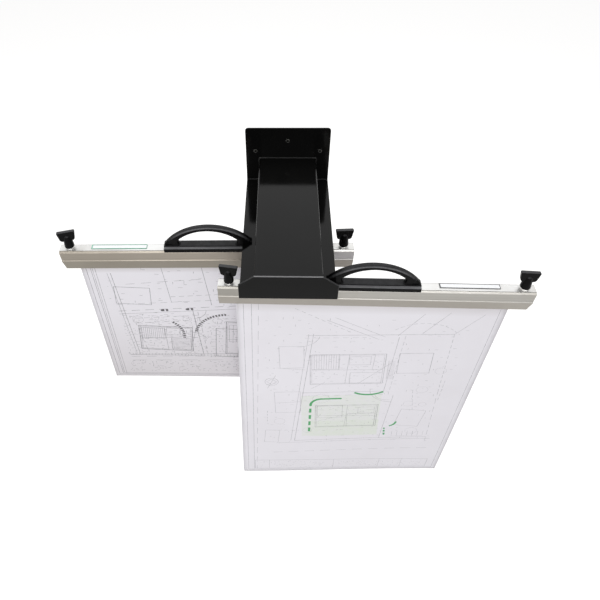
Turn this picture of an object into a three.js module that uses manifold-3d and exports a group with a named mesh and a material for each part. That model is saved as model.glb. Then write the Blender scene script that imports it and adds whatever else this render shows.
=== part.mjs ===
import * as THREE from 'three';
import { mergeVertices } from 'three/addons/utils/BufferGeometryUtils.js';
import Module from 'manifold-3d';

// A wall rack for large drawings, carrying two clamp binders.
// Millimetres. X runs along the wall, Y into the wall, Z up.
// The origin is on the back face of the wall plate.

// Rack
const RACK_WIDTH = 203;
const ARM_TOP_WIDTH = 138;
const ARM_HEIGHT = 67;
const ARM_DEPTH = 388;
const ARM_SHEET = 2;
const BEND_RADIUS = 3.5;
const WALL_PLATE = 3;
const WALL_PLATE_RISE = 154;
const WALL_PLATE_CORNER = 8;
const FRONT_PLATE = 2;
const SHOULDER_RISE = 41;
const FIXING_HOLE = 5.5;
const COUNTERSINK = 10.5;
const COUNTERSINK_DEPTH = 1.9;
const FIXING_SPACING = 156;
const FIXING_RISE = 88;
const TOP_FIXING_RISE = 118;
const ORIGIN_RISE = 76;

// Clamp section, half depths and drops from its top face
const CLAMP_LENGTH = 672;
const CLAMP_HEIGHT = 68;
const CLAMP_WALL = 2;
const TOP_HALF = 10.2;
const BODY_HALF = 14.2;
const BEVEL_DROP = 4.1;
const WAIST_HALF = 12.6;
const WAIST_DROP = 29.1;
const RIDGE_DROP = 30.7;
const LIP_HALF = 2.2;
const LIP_PAD = 8;
const WEB = 2.4;
const GROOVE = 0.7;

// Jaw pivot
const BEAD_RADIUS = 1.6;
const BEAD_INSET = 2.2;
const BEAD_DROP = 4.6;
const NECK = 1.5;
const SOCKET_PLAY = 0.4;
const SOCKET_WALL = 1.5;

// Draw bar and the jaw legs that it squeezes together
const LEG_DROP = 13.5;
const LEG_RIB = 2;
const LEG_LENGTH = 6.5;
const LEG_INNER = 3.5;
const LEG_TIP = 1.2;
const LEG_TAPER = 0.3;
const BAR_INSET = 14;
const BAR_HALF = 8.2;
const BAR_FLOOR = 5.5;
const BAR_CHAMFER = 1;
const BAR_PLAY = 0.35;

// Wing knobs
const KNOB_INSET = 24;
const INNER_KNOB_CLEARANCE = 24.5;
const KNOB_HEIGHT = 47.3;
const COLLAR_RADIUS = 10;
const COLLAR_EDGE = 3.4;
const COLLAR_BAND = 8;
const NECK_RADIUS = 9.4;
const BOSS_RADIUS = 4.8;
const BOSS_RISE = 19.5;
const WING_WIDTH = 41;
const WING_FOOT = 32;
const WING_HEIGHT = 27.5;
const WING_THICKNESS = 8.5;
const WING_EDGE = 1.6;
const WING_CORNER = 3;
const WING_SHOULDER = 6;
const STUD_RADIUS = 3;
const STUD_IN_KNOB = 20;
const STUD_TAIL = 5;
const BUSH_RADIUS = 4.8;
const BUSH_HEIGHT = 4.4;

// Handle
const HANDLE_LENGTH = 198;
const HANDLE_HEIGHT = 68;
const HANDLE_DEPTH = 15;
const HANDLE_ROUND = 4.4;
const NOSE_HEIGHT = 22;
const NOSE_ROUND = 5;
const GRIP_THICKNESS = 13;
const OPENING_WIDTH = 134;
const OPENING_SIDE = 28;
const OPENING_CORNER = 6;
const BASE_HEIGHT = 14.6;
const BASE_HALF = 13.5;
const BASE_SIDE = 7.7;
const LEDGE_STEP = 2;
const FLOOR_HALF = 8;
const SLOT_DEPTH = 20.2;
const SLOT_HEIGHT = 2.9;
const HANDLE_SCREW_SPAN = 120;
const HANDLE_SCREW_RADIUS = 2.5;
const HANDLE_SCREW_DEPTH = 11;
const SCREW_HEAD_RADIUS = 3.8;
const SCREW_HEAD_HEIGHT = 2.6;

// Label strip on the top face
const LABEL_LENGTH = 128;
const LABEL_SHIFT = 4;
const LABEL_WIDTH = 12.6;
const FRONT_LABEL_OFFSET = 3.2;
const REAR_LABEL_OFFSET = -2;
const LABEL_RIM = 1;
const LABEL_RIM_HEIGHT = 1;
const LABEL_CARD = 0.4;

// Drawings
const SHEET_WIDTH = 594;
const SHEET_STACK = 1;
const SHEET_GRIP = 26;
const FRONT_SHEET_HEIGHT = 841;
const REAR_SHEET_HEIGHT = 486;
const REAR_SHEET_SHIFT = 6;

// Fits
const SEAT = 0.3;
const BORE_PLAY = 0.35;
const FLANGE_SEAT = 0.7;

// Where each binder hangs
const FRONT_SETBACK = 53;
const BINDER_SPACING = 109;
const BINDERS = [
  {
    name: 'front',
    side: 1,
    y: FRONT_SETBACK - ARM_DEPTH,
    droop: 0.9,
    skew: 0,
    labelY: FRONT_LABEL_OFFSET,
    sheetHeight: FRONT_SHEET_HEIGHT,
    sheetShift: 0,
    turns: [-7, 5],
    rim: 0x6a6d70,
  },
  {
    name: 'rear',
    side: -1,
    y: FRONT_SETBACK + BINDER_SPACING - ARM_DEPTH,
    droop: 0.2,
    skew: 0.9,
    labelY: REAR_LABEL_OFFSET,
    sheetHeight: REAR_SHEET_HEIGHT,
    sheetShift: REAR_SHEET_SHIFT,
    turns: [2, -6],
    rim: 0x7fbfa4,
  },
];

const wasm = await Module();
wasm.setup();

const COLOURS = {
  powderCoat: { color: 0x333336, roughness: 0.42, metalness: 0.35 },
  aluminium: { color: 0xc3bfb6, roughness: 0.38, metalness: 0.9 },
  plastic: { color: 0x2a2a2c, roughness: 0.5, metalness: 0 },
  steel: { color: 0xa9abad, roughness: 0.35, metalness: 1 },
  paper: { color: 0xf1eff5, roughness: 0.9, metalness: 0 },
};

// A mesh with its own material
function piece(name, geometry, look) {
  const mesh = new THREE.Mesh(geometry, new THREE.MeshStandardMaterial(look));
  mesh.name = name;
  return mesh;
}

// Closed geometry to a solid that can be joined and cut
function toSolid(geometry) {
  const bare = geometry.index ? geometry.toNonIndexed() : geometry.clone();
  bare.deleteAttribute('normal');
  bare.deleteAttribute('uv');
  const merged = mergeVertices(bare, 1e-4);
  const corners = merged.index.array;
  const faces = [];
  for (let i = 0; i < corners.length; i += 3) {
    const face = Array.from(corners.slice(i, i + 3));
    if (new Set(face).size === 3) {
      faces.push(...face);
    }
  }
  return new wasm.Manifold(new wasm.Mesh({
    numProp: 3,
    vertProperties: new Float32Array(merged.attributes.position.array),
    triVerts: new Uint32Array(faces),
  }));
}

function toGeometry(solid) {
  const mesh = solid.getMesh();
  const stride = mesh.numProp;
  const count = mesh.vertProperties.length / stride;
  const position = new Float32Array(count * 3);
  for (let i = 0; i < count; i += 1) {
    for (let k = 0; k < 3; k += 1) {
      position[i * 3 + k] = mesh.vertProperties[i * stride + k];
    }
  }
  const geometry = new THREE.BufferGeometry();
  geometry.setAttribute('position', new THREE.BufferAttribute(position, 3));
  geometry.setIndex(new THREE.BufferAttribute(new Uint32Array(mesh.triVerts), 1));
  geometry.computeVertexNormals();
  return geometry;
}

function join(first, ...others) {
  return others.reduce((sum, other) => sum.add(toSolid(other)), toSolid(first));
}

function cut(solid, ...tools) {
  return tools.reduce((rest, tool) => rest.subtract(toSolid(tool)), solid);
}

function shapeOf(points) {
  return new THREE.Shape(points.map(([u, v]) => new THREE.Vector2(u, v)));
}

// A section in (y, z) drawn along X, centred on the origin
function alongX(points, length) {
  const geometry = new THREE.ExtrudeGeometry(shapeOf(points), {
    depth: length,
    bevelEnabled: false,
  });
  geometry.applyMatrix4(new THREE.Matrix4().makeBasis(
    new THREE.Vector3(0, 1, 0),
    new THREE.Vector3(0, 0, 1),
    new THREE.Vector3(1, 0, 0),
  ));
  geometry.translate(-length / 2, 0, 0);
  return geometry;
}

// The corners of a curve, without neighbours that fall on the same spot
function cornersOf(points) {
  return points.filter((point, i) => point.distanceTo(points[(i + 1) % points.length]) > 1e-3);
}

// A front view in (x, z) drawn towards -Y from the plane y = start
function towardsViewer(shape, depth, start, { curveSegments = 10, ...options } = {}) {
  const curves = shape.extractPoints(curveSegments);
  const outline = new THREE.Shape(cornersOf(curves.shape));
  outline.holes = curves.holes.map((hole) => new THREE.Path(cornersOf(hole)));
  const geometry = new THREE.ExtrudeGeometry(outline, {
    depth,
    bevelEnabled: false,
    ...options,
  });
  geometry.applyMatrix4(new THREE.Matrix4().makeBasis(
    new THREE.Vector3(1, 0, 0),
    new THREE.Vector3(0, 0, 1),
    new THREE.Vector3(0, -1, 0),
  ));
  geometry.translate(0, start, 0);
  return geometry;
}

// An upright cylinder from one height to another
function post(radius, bottom, top, x = 0, sides = 20) {
  const geometry = new THREE.CylinderGeometry(radius, radius, top - bottom, sides);
  geometry.rotateX(Math.PI / 2);
  geometry.translate(x, 0, (bottom + top) / 2);
  return geometry;
}

function block(x0, x1, y0, y1, z0, z1) {
  const geometry = new THREE.BoxGeometry(x1 - x0, y1 - y0, z1 - z0);
  geometry.translate((x0 + x1) / 2, (y0 + y1) / 2, (z0 + z1) / 2);
  return geometry;
}

// Parallel line at a distance to the right of an open line, with mitred corners
function offsetLine(points, distance) {
  const unit = (a, b) => {
    const length = Math.hypot(b[0] - a[0], b[1] - a[1]);
    return [(b[0] - a[0]) / length, (b[1] - a[1]) / length];
  };
  return points.map((point, i) => {
    const before = i > 0 ? unit(points[i - 1], point) : unit(point, points[i + 1]);
    const after = i < points.length - 1 ? unit(point, points[i + 1]) : before;
    const normal = [before[1] + after[1], -before[0] - after[0]];
    const scale = (2 * distance) / (normal[0] ** 2 + normal[1] ** 2);
    return [point[0] + normal[0] * scale, point[1] + normal[1] * scale];
  });
}

// Outline of bent sheet metal, from the corners of its middle line
function bentSheet(corners, thickness, radius, steps = 4) {
  const line = [corners[0]];
  for (let i = 1; i < corners.length - 1; i += 1) {
    const [a, b, c] = [corners[i - 1], corners[i], corners[i + 1]].map((p) => new THREE.Vector2(...p));
    const into = b.clone().sub(a).normalize();
    const out = c.clone().sub(b).normalize();
    const half = Math.acos(into.dot(out)) / 2;
    const reach = radius * Math.tan(half);
    const start = b.clone().addScaledVector(into, -reach);
    const side = Math.sign(into.cross(out));
    const centre = start.clone().add(new THREE.Vector2(-into.y, into.x).multiplyScalar(side * radius));
    for (let k = 0; k <= steps; k += 1) {
      const angle = (2 * half * side * k) / steps;
      const spoke = start.clone().rotateAround(centre, angle);
      line.push([spoke.x, spoke.y]);
    }
  }
  line.push(corners[corners.length - 1]);
  const right = offsetLine(line, thickness / 2);
  const left = offsetLine(line, -thickness / 2);
  return right.concat(left.reverse());
}

// Straight interpolation of a half depth at a height on one line of the section
function halfAt(line, z) {
  for (let i = 0; i < line.length - 1; i += 1) {
    const [a, b] = [line[i], line[i + 1]];
    if (z <= a[1] && z >= b[1]) {
      return a[0] + ((b[0] - a[0]) * (z - a[1])) / (b[1] - a[1]);
    }
  }
  return line[line.length - 1][0];
}

function mirrorHalf(points) {
  return points.map(([half, z]) => [-half, z]);
}

// Rack pieces, with the top of the flanges at z = 0

function wallPlate() {
  const half = RACK_WIDTH / 2;
  const shape = new THREE.Shape();
  shape.moveTo(-half, -ARM_SHEET);
  shape.lineTo(half, -ARM_SHEET);
  shape.lineTo(half, WALL_PLATE_RISE - WALL_PLATE_CORNER);
  shape.absarc(half - WALL_PLATE_CORNER, WALL_PLATE_RISE - WALL_PLATE_CORNER, WALL_PLATE_CORNER, 0, Math.PI / 2);
  shape.lineTo(-half + WALL_PLATE_CORNER, WALL_PLATE_RISE);
  shape.absarc(-half + WALL_PLATE_CORNER, WALL_PLATE_RISE - WALL_PLATE_CORNER, WALL_PLATE_CORNER, Math.PI / 2, Math.PI);
  shape.closePath();
  const fixings = [
    [-FIXING_SPACING / 2, FIXING_RISE],
    [FIXING_SPACING / 2, FIXING_RISE],
    [0, TOP_FIXING_RISE],
  ];
  return toGeometry(cut(
    toSolid(towardsViewer(shape, WALL_PLATE, 0)),
    ...fixings.map(([x, z]) => fixingHole().translate(x, 0, z)),
  ));
}

// The cut for one countersunk hole through the wall plate
function fixingHole() {
  const front = -WALL_PLATE;
  const profile = [
    [0, front - 1],
    [COUNTERSINK / 2, front - 1],
    [COUNTERSINK / 2, front],
    [FIXING_HOLE / 2, front + COUNTERSINK_DEPTH],
    [FIXING_HOLE / 2, 1],
    [0, 1],
  ].map(([r, y]) => new THREE.Vector2(r, y));
  return new THREE.LatheGeometry(profile, 20);
}

function arm() {
  const low = -ARM_SHEET / 2;
  const high = ARM_HEIGHT - ARM_SHEET / 2;
  const wall = (ARM_TOP_WIDTH - ARM_SHEET) / 2;
  const outline = bentSheet([
    [-RACK_WIDTH / 2, low],
    [-wall, low],
    [-wall, high],
    [wall, high],
    [wall, low],
    [RACK_WIDTH / 2, low],
  ], ARM_SHEET, BEND_RADIUS);
  const start = WALL_PLATE + SEAT;
  const length = ARM_DEPTH - FRONT_PLATE - SEAT - start;
  return towardsViewer(shapeOf(outline), length, -start);
}

function frontPlate() {
  const half = RACK_WIDTH / 2;
  const top = ARM_TOP_WIDTH / 2;
  const shape = shapeOf([
    [-half, -ARM_SHEET],
    [half, -ARM_SHEET],
    [half, SHOULDER_RISE],
    [top, ARM_HEIGHT],
    [-top, ARM_HEIGHT],
    [-half, SHOULDER_RISE],
  ]);
  return towardsViewer(shape, FRONT_PLATE, -ARM_DEPTH + FRONT_PLATE);
}

// Binder pieces, with the top face of the clamp at z = 0 and one half drawn on the +Y side

const outerLine = [
  [TOP_HALF, 0],
  [BODY_HALF, -BEVEL_DROP],
  [WAIST_HALF, -WAIST_DROP],
  [BODY_HALF, -RIDGE_DROP],
  [LIP_HALF, -CLAMP_HEIGHT],
];
const innerLine = offsetLine(outerLine, CLAMP_WALL);
const lipInner = SHEET_STACK / 2 + SEAT;
const spineHalf = TOP_HALF - SEAT;
const jawTop = spineHalf + GROOVE;
const bead = [TOP_HALF - BEAD_INSET, -BEAD_DROP];
const legTop = -LEG_DROP - LEG_RIB;
const legFoot = legTop - LEG_LENGTH;
const legOuter = LEG_INNER + LEG_TIP;
const barFloor = legFoot - SEAT;
const barBottom = barFloor - BAR_FLOOR;
const knobX = CLAMP_LENGTH / 2 - KNOB_INSET;
const binderX = knobX - RACK_WIDTH / 2 - INNER_KNOB_CLEARANCE;
const handleX = RACK_WIDTH / 2 + FLANGE_SEAT + HANDLE_LENGTH / 2 - SLOT_DEPTH - binderX;

// The wall of a jaw, from its edge on the bevel down to its lip
function jawWall() {
  const run = BODY_HALF - TOP_HALF;
  const innerSlope = (innerLine[1][1] - innerLine[0][1]) / (innerLine[1][0] - innerLine[0][0]);
  const padTop = -CLAMP_HEIGHT + LIP_PAD;
  return [
    [jawTop, (-(jawTop - TOP_HALF) * BEVEL_DROP) / run],
    ...outerLine.slice(1),
    [lipInner, -CLAMP_HEIGHT],
    [lipInner, padTop],
    [halfAt(innerLine, padTop), padTop],
    innerLine[3],
    innerLine[2],
    innerLine[1],
    [jawTop, innerLine[0][1] + (jawTop - innerLine[0][0]) * innerSlope],
  ];
}

// The rib and tapered leg inside the wall
function jawLeg() {
  const root = halfAt(innerLine, -LEG_DROP) + CLAMP_WALL / 2;
  return [
    [root, -LEG_DROP],
    [LEG_INNER, -LEG_DROP],
    [LEG_INNER, legFoot],
    [legOuter, legFoot],
    [legOuter + LEG_LENGTH * LEG_TAPER, legTop],
    [root, legTop],
  ];
}

// The short neck that carries the bead
function beadNeck() {
  const root = halfAt(innerLine, bead[1] - NECK) + CLAMP_WALL / 2;
  return [
    [root, bead[1] - NECK / 2],
    [bead[0], bead[1] - NECK / 2],
    [bead[0], bead[1] + NECK / 2],
    [root, bead[1] + NECK / 2],
  ];
}

function beadRing() {
  const sides = 14;
  return Array.from({ length: sides }, (_, k) => {
    const angle = (2 * Math.PI * k) / sides;
    return [bead[0] + BEAD_RADIUS * Math.cos(angle), bead[1] + BEAD_RADIUS * Math.sin(angle)];
  });
}

// The curled hook under the spine that a bead turns in
function pivotHook() {
  const inside = BEAD_RADIUS + SOCKET_PLAY;
  const outside = inside + SOCKET_WALL;
  const sweep = (-140 * Math.PI) / 180;
  const steps = 8;
  const arc = (radius) => Array.from({ length: steps + 1 }, (_, k) => {
    const angle = (sweep * k) / steps;
    return [bead[0] - radius * Math.cos(angle), bead[1] + radius * Math.sin(angle)];
  });
  const stemTop = -WEB / 2;
  return [
    [bead[0] - inside, stemTop],
    ...arc(inside),
    ...arc(outside).reverse(),
    [bead[0] - outside, stemTop],
  ];
}

// The flat top strip, with a hook along each side for a jaw to turn in
function clampSpine() {
  const web = [
    [-spineHalf, 0],
    [-spineHalf, -WEB],
    [spineHalf, -WEB],
    [spineHalf, 0],
  ];
  const sections = [web, pivotHook(), mirrorHalf(pivotHook())];
  const strip = join(...sections.map((section) => alongX(section, CLAMP_LENGTH)));
  const studHole = STUD_RADIUS + BORE_PLAY;
  const screwHole = HANDLE_SCREW_RADIUS + BORE_PLAY;
  return toGeometry(cut(
    strip,
    post(studHole, -2 * WEB, WEB, -knobX),
    post(studHole, -2 * WEB, WEB, knobX),
    post(screwHole, -2 * WEB, WEB, handleX - HANDLE_SCREW_SPAN / 2),
    post(screwHole, -2 * WEB, WEB, handleX + HANDLE_SCREW_SPAN / 2),
  ));
}

// A jaw on the given side: the wall that shows, a leg for the draw bar and a bead
function jaw(side) {
  const sections = [jawWall(), jawLeg(), beadNeck(), beadRing()];
  const turned = side < 0 ? sections.map(mirrorHalf) : sections;
  return toGeometry(join(...turned.map((section) => alongX(section, CLAMP_LENGTH))));
}

// The channel that the studs pull up over the two legs
function drawBar() {
  const lipTop = legTop - SEAT - BAR_PLAY;
  const lipInnerAt = (z) => legOuter + BAR_PLAY + (z - legFoot) * LEG_TAPER;
  const half = [
    [BAR_HALF, lipTop],
    [BAR_HALF, barBottom + BAR_CHAMFER],
    [BAR_HALF - BAR_CHAMFER, barBottom],
  ];
  const inside = [
    [lipInnerAt(barFloor), barFloor],
    [lipInnerAt(lipTop), lipTop],
  ];
  const outline = [
    ...half,
    ...mirrorHalf(half).reverse(),
    ...mirrorHalf(inside).reverse(),
    ...inside,
  ];
  const hole = STUD_RADIUS + BORE_PLAY;
  return toGeometry(cut(
    toSolid(alongX(outline, CLAMP_LENGTH - 2 * BAR_INSET)),
    post(hole, barBottom - 1, barFloor + 1, -knobX),
    post(hole, barBottom - 1, barFloor + 1, knobX),
  ));
}

const bushTop = SEAT + BUSH_HEIGHT;
const knobBottom = bushTop + SEAT;
const knobTop = knobBottom + KNOB_HEIGHT;

// A round hub flared into a collar, with a flat wing across its top
function wingKnob() {
  const wingFoot = knobTop - WING_HEIGHT;
  const profile = [
    [0, knobBottom],
    [COLLAR_RADIUS - COLLAR_EDGE, knobBottom],
    [COLLAR_RADIUS, knobBottom + COLLAR_EDGE],
    [COLLAR_RADIUS, knobBottom + COLLAR_BAND],
    [NECK_RADIUS, wingFoot],
    [(NECK_RADIUS + BOSS_RADIUS) / 2, wingFoot + BOSS_RISE - BOSS_RADIUS / 2],
    [BOSS_RADIUS, wingFoot + BOSS_RISE],
    [0, wingFoot + BOSS_RISE],
  ].map(([r, z]) => new THREE.Vector2(r, z));
  const hub = new THREE.LatheGeometry(profile, 22);
  hub.rotateX(Math.PI / 2);
  const top = WING_WIDTH / 2;
  const foot = WING_FOOT / 2;
  const shape = new THREE.Shape();
  shape.moveTo(-BOSS_RADIUS, wingFoot);
  shape.lineTo(BOSS_RADIUS, wingFoot);
  shape.quadraticCurveTo(foot, wingFoot, foot, wingFoot + WING_SHOULDER);
  shape.lineTo(top, knobTop - WING_CORNER);
  shape.quadraticCurveTo(top, knobTop, top - WING_CORNER, knobTop);
  shape.lineTo(-top + WING_CORNER, knobTop);
  shape.quadraticCurveTo(-top, knobTop, -top, knobTop - WING_CORNER);
  shape.lineTo(-foot, wingFoot + WING_SHOULDER);
  shape.quadraticCurveTo(-foot, wingFoot, -BOSS_RADIUS, wingFoot);
  const wing = towardsViewer(shape, WING_THICKNESS - 2 * WING_EDGE, WING_THICKNESS / 2 - WING_EDGE, {
    bevelEnabled: true,
    bevelThickness: WING_EDGE,
    bevelSize: WING_EDGE,
    bevelOffset: -WING_EDGE,
    bevelSegments: 2,
    curveSegments: 5,
  });
  const bore = post(STUD_RADIUS + BORE_PLAY, knobBottom - 1, knobBottom + STUD_IN_KNOB + SEAT);
  return toGeometry(cut(join(hub, wing), bore));
}

function stud() {
  return post(STUD_RADIUS, barBottom - STUD_TAIL, knobBottom + STUD_IN_KNOB, 0, 14);
}

function bush() {
  const inner = STUD_RADIUS + BORE_PLAY;
  const profile = [
    [inner, SEAT],
    [BUSH_RADIUS, SEAT],
    [BUSH_RADIUS, bushTop],
    [inner, bushTop],
    [inner, SEAT],
  ].map(([r, z]) => new THREE.Vector2(r, z));
  const geometry = new THREE.LatheGeometry(profile, 20);
  geometry.rotateX(Math.PI / 2);
  return toGeometry(toSolid(geometry));
}

// A bowed grip over a flat base, with a slot in each end for the rack's flange
function handle() {
  const half = HANDLE_LENGTH / 2;
  const nose = NOSE_HEIGHT;
  const rise = HANDLE_HEIGHT - nose;
  const bow = (half ** 2 + rise ** 2) / (2 * rise);
  const reach = Math.asin(half / bow);
  const outline = new THREE.Shape();
  outline.moveTo(-half, SEAT + 1);
  outline.lineTo(half, SEAT + 1);
  outline.lineTo(half, nose - NOSE_ROUND);
  const noseAngle = reach - NOSE_ROUND / bow;
  outline.quadraticCurveTo(
    half,
    nose,
    bow * Math.sin(noseAngle),
    HANDLE_HEIGHT - bow + bow * Math.cos(noseAngle),
  );
  outline.absarc(0, HANDLE_HEIGHT - bow, bow, Math.PI / 2 - noseAngle, Math.PI / 2 + noseAngle);
  outline.quadraticCurveTo(-half, nose, -half, nose - NOSE_ROUND);
  outline.closePath();

  const openHalf = OPENING_WIDTH / 2;
  const crown = HANDLE_HEIGHT - GRIP_THICKNESS;
  const fall = crown - OPENING_SIDE;
  const vault = (openHalf ** 2 + fall ** 2) / (2 * fall);
  const spring = Math.asin(openHalf / vault);
  const floor = BASE_HEIGHT - 2;
  const opening = new THREE.Path();
  opening.moveTo(-openHalf + OPENING_CORNER, floor);
  opening.quadraticCurveTo(-openHalf, floor, -openHalf, floor + OPENING_CORNER);
  opening.lineTo(-openHalf, OPENING_SIDE);
  opening.absarc(0, crown - vault, vault, Math.PI / 2 + spring, Math.PI / 2 - spring, true);
  opening.lineTo(openHalf, floor + OPENING_CORNER);
  opening.quadraticCurveTo(openHalf, floor, openHalf - OPENING_CORNER, floor);
  opening.closePath();
  outline.holes.push(opening);

  const grip = towardsViewer(outline, HANDLE_DEPTH - 2 * HANDLE_ROUND, HANDLE_DEPTH / 2 - HANDLE_ROUND, {
    bevelEnabled: true,
    bevelThickness: HANDLE_ROUND,
    bevelSize: HANDLE_ROUND,
    bevelOffset: -HANDLE_ROUND,
    bevelSegments: 3,
    curveSegments: 16,
  });
  const base = alongX([
    [-BASE_HALF, SEAT],
    [BASE_HALF, SEAT],
    [BASE_HALF, SEAT + BASE_SIDE],
    [FLOOR_HALF, BASE_HEIGHT - LEDGE_STEP],
    [FLOOR_HALF, BASE_HEIGHT],
    [-FLOOR_HALF, BASE_HEIGHT],
    [-FLOOR_HALF, BASE_HEIGHT - LEDGE_STEP],
    [-BASE_HALF, SEAT + BASE_SIDE],
  ], HANDLE_LENGTH);
  const slotTop = BASE_HEIGHT + SLOT_HEIGHT;
  const inner = half - SLOT_DEPTH;
  const hole = HANDLE_SCREW_RADIUS + BORE_PLAY;
  const solid = cut(
    join(grip, base),
    block(-half - 1, -inner, -BASE_HALF, BASE_HALF, BASE_HEIGHT, slotTop),
    block(inner, half + 1, -BASE_HALF, BASE_HALF, BASE_HEIGHT, slotTop),
    post(hole, SEAT - 1, HANDLE_SCREW_DEPTH + SEAT, -HANDLE_SCREW_SPAN / 2, 16),
    post(hole, SEAT - 1, HANDLE_SCREW_DEPTH + SEAT, HANDLE_SCREW_SPAN / 2, 16),
  );
  return toGeometry(solid);
}

// A pan-head screw driven up through the web
function handleScrew() {
  const headTop = -WEB - SEAT;
  const profile = [
    [0, headTop - SCREW_HEAD_HEIGHT],
    [SCREW_HEAD_RADIUS - 0.9, headTop - SCREW_HEAD_HEIGHT],
    [SCREW_HEAD_RADIUS, headTop - SCREW_HEAD_HEIGHT + 0.9],
    [SCREW_HEAD_RADIUS, headTop],
    [HANDLE_SCREW_RADIUS, headTop],
    [HANDLE_SCREW_RADIUS, HANDLE_SCREW_DEPTH],
    [0, HANDLE_SCREW_DEPTH],
  ].map(([r, z]) => new THREE.Vector2(r, z));
  const geometry = new THREE.LatheGeometry(profile, 14);
  geometry.rotateX(Math.PI / 2);
  return toGeometry(toSolid(geometry));
}

// A shallow rim round the label card
function labelRim() {
  const x = LABEL_LENGTH / 2;
  const y = LABEL_WIDTH / 2;
  const outer = toSolid(block(-x, x, -y, y, SEAT, SEAT + LABEL_RIM_HEIGHT));
  const inner = block(-x + LABEL_RIM, x - LABEL_RIM, -y + LABEL_RIM, y - LABEL_RIM, 0, SEAT + 2 * LABEL_RIM_HEIGHT);
  return toGeometry(cut(outer, inner));
}

function labelCard() {
  const x = LABEL_LENGTH / 2 - LABEL_RIM - SEAT;
  const y = LABEL_WIDTH / 2 - LABEL_RIM - SEAT;
  return block(-x, x, -y, y, SEAT, SEAT + LABEL_CARD);
}

function planSet(height) {
  const top = -CLAMP_HEIGHT + SHEET_GRIP;
  return block(-SHEET_WIDTH / 2, SHEET_WIDTH / 2, -SHEET_STACK / 2, SHEET_STACK / 2, top - height, top);
}

// One binder, hung by its handle slot on a flange of the rack
function binder({ name, side, y, droop, skew, labelY, sheetHeight, sheetShift, turns, rim }) {
  const group = new THREE.Group();
  const add = (part, x = 0, dy = 0, turn = 0) => {
    part.position.set(x, dy, 0);
    part.rotation.z = THREE.MathUtils.degToRad(turn);
    group.add(part);
  };
  add(piece(`${name}_clamp_spine`, clampSpine(), COLOURS.aluminium));
  add(piece(`${name}_jaw_1`, jaw(-1), COLOURS.aluminium));
  add(piece(`${name}_jaw_2`, jaw(1), COLOURS.aluminium));
  add(piece(`${name}_draw_bar`, drawBar(), COLOURS.aluminium));
  ['inner', 'outer'].forEach((end, i) => {
    const x = (i * 2 - 1) * knobX;
    add(piece(`${name}_${end}_knob`, wingKnob(), COLOURS.plastic), x, 0, turns[i]);
    add(piece(`${name}_${end}_stud`, stud(), COLOURS.steel), x, 0, turns[i]);
    add(piece(`${name}_${end}_bush`, bush(), COLOURS.aluminium), x);
  });
  add(piece(`${name}_handle`, handle(), COLOURS.plastic), handleX);
  [-1, 1].forEach((end, i) => {
    const x = handleX + (end * HANDLE_SCREW_SPAN) / 2;
    add(piece(`${name}_handle_screw_${i + 1}`, handleScrew(), COLOURS.steel), x);
  });
  const labelX = (handleX + HANDLE_LENGTH / 2 + knobX) / 2 - LABEL_SHIFT;
  add(piece(`${name}_label_rim`, labelRim(), { color: rim, roughness: 0.4, metalness: 0 }), labelX, labelY);
  add(piece(`${name}_label_card`, labelCard(), COLOURS.paper), labelX, labelY);
  add(piece(`${name}_plan_set`, planSet(sheetHeight), COLOURS.paper), sheetShift);

  const tilt = THREE.MathUtils.degToRad(droop);
  const slotX = handleX - (HANDLE_LENGTH - SLOT_DEPTH) / 2;
  const slotZ = BASE_HEIGHT + SLOT_HEIGHT / 2;
  const z = -ARM_SHEET / 2 + slotX * Math.sin(tilt) - slotZ * Math.cos(tilt);
  group.position.set(side * binderX, y, z);
  group.rotation.order = 'ZYX';
  group.rotation.set(0, tilt, THREE.MathUtils.degToRad((side < 0 ? 180 : 0) + skew));
  return group;
}

const rack = new THREE.Group();
rack.add(piece('wall_plate', wallPlate(), COLOURS.powderCoat));
rack.add(piece('arm', arm(), COLOURS.powderCoat));
rack.add(piece('front_plate', frontPlate(), COLOURS.powderCoat));
for (const placing of BINDERS) {
  rack.add(binder(placing));
}
rack.position.z = -ORIGIN_RISE;

const part = new THREE.Group();
part.add(rack);

export default part;
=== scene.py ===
import math

import bmesh
import bpy
from mathutils import Matrix, Vector


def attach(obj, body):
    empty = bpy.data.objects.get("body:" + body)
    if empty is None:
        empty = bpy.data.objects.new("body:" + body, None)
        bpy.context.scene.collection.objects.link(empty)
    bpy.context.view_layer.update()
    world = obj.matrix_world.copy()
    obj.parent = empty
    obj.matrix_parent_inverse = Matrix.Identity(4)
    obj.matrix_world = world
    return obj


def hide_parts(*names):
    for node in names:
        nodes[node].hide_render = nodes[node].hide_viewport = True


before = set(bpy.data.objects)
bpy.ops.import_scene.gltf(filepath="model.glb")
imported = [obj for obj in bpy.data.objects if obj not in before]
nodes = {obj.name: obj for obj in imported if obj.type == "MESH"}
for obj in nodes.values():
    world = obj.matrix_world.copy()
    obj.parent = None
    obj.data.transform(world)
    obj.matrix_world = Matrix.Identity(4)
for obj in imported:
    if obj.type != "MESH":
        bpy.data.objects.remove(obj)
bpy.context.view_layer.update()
scene = bpy.context.scene

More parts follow.
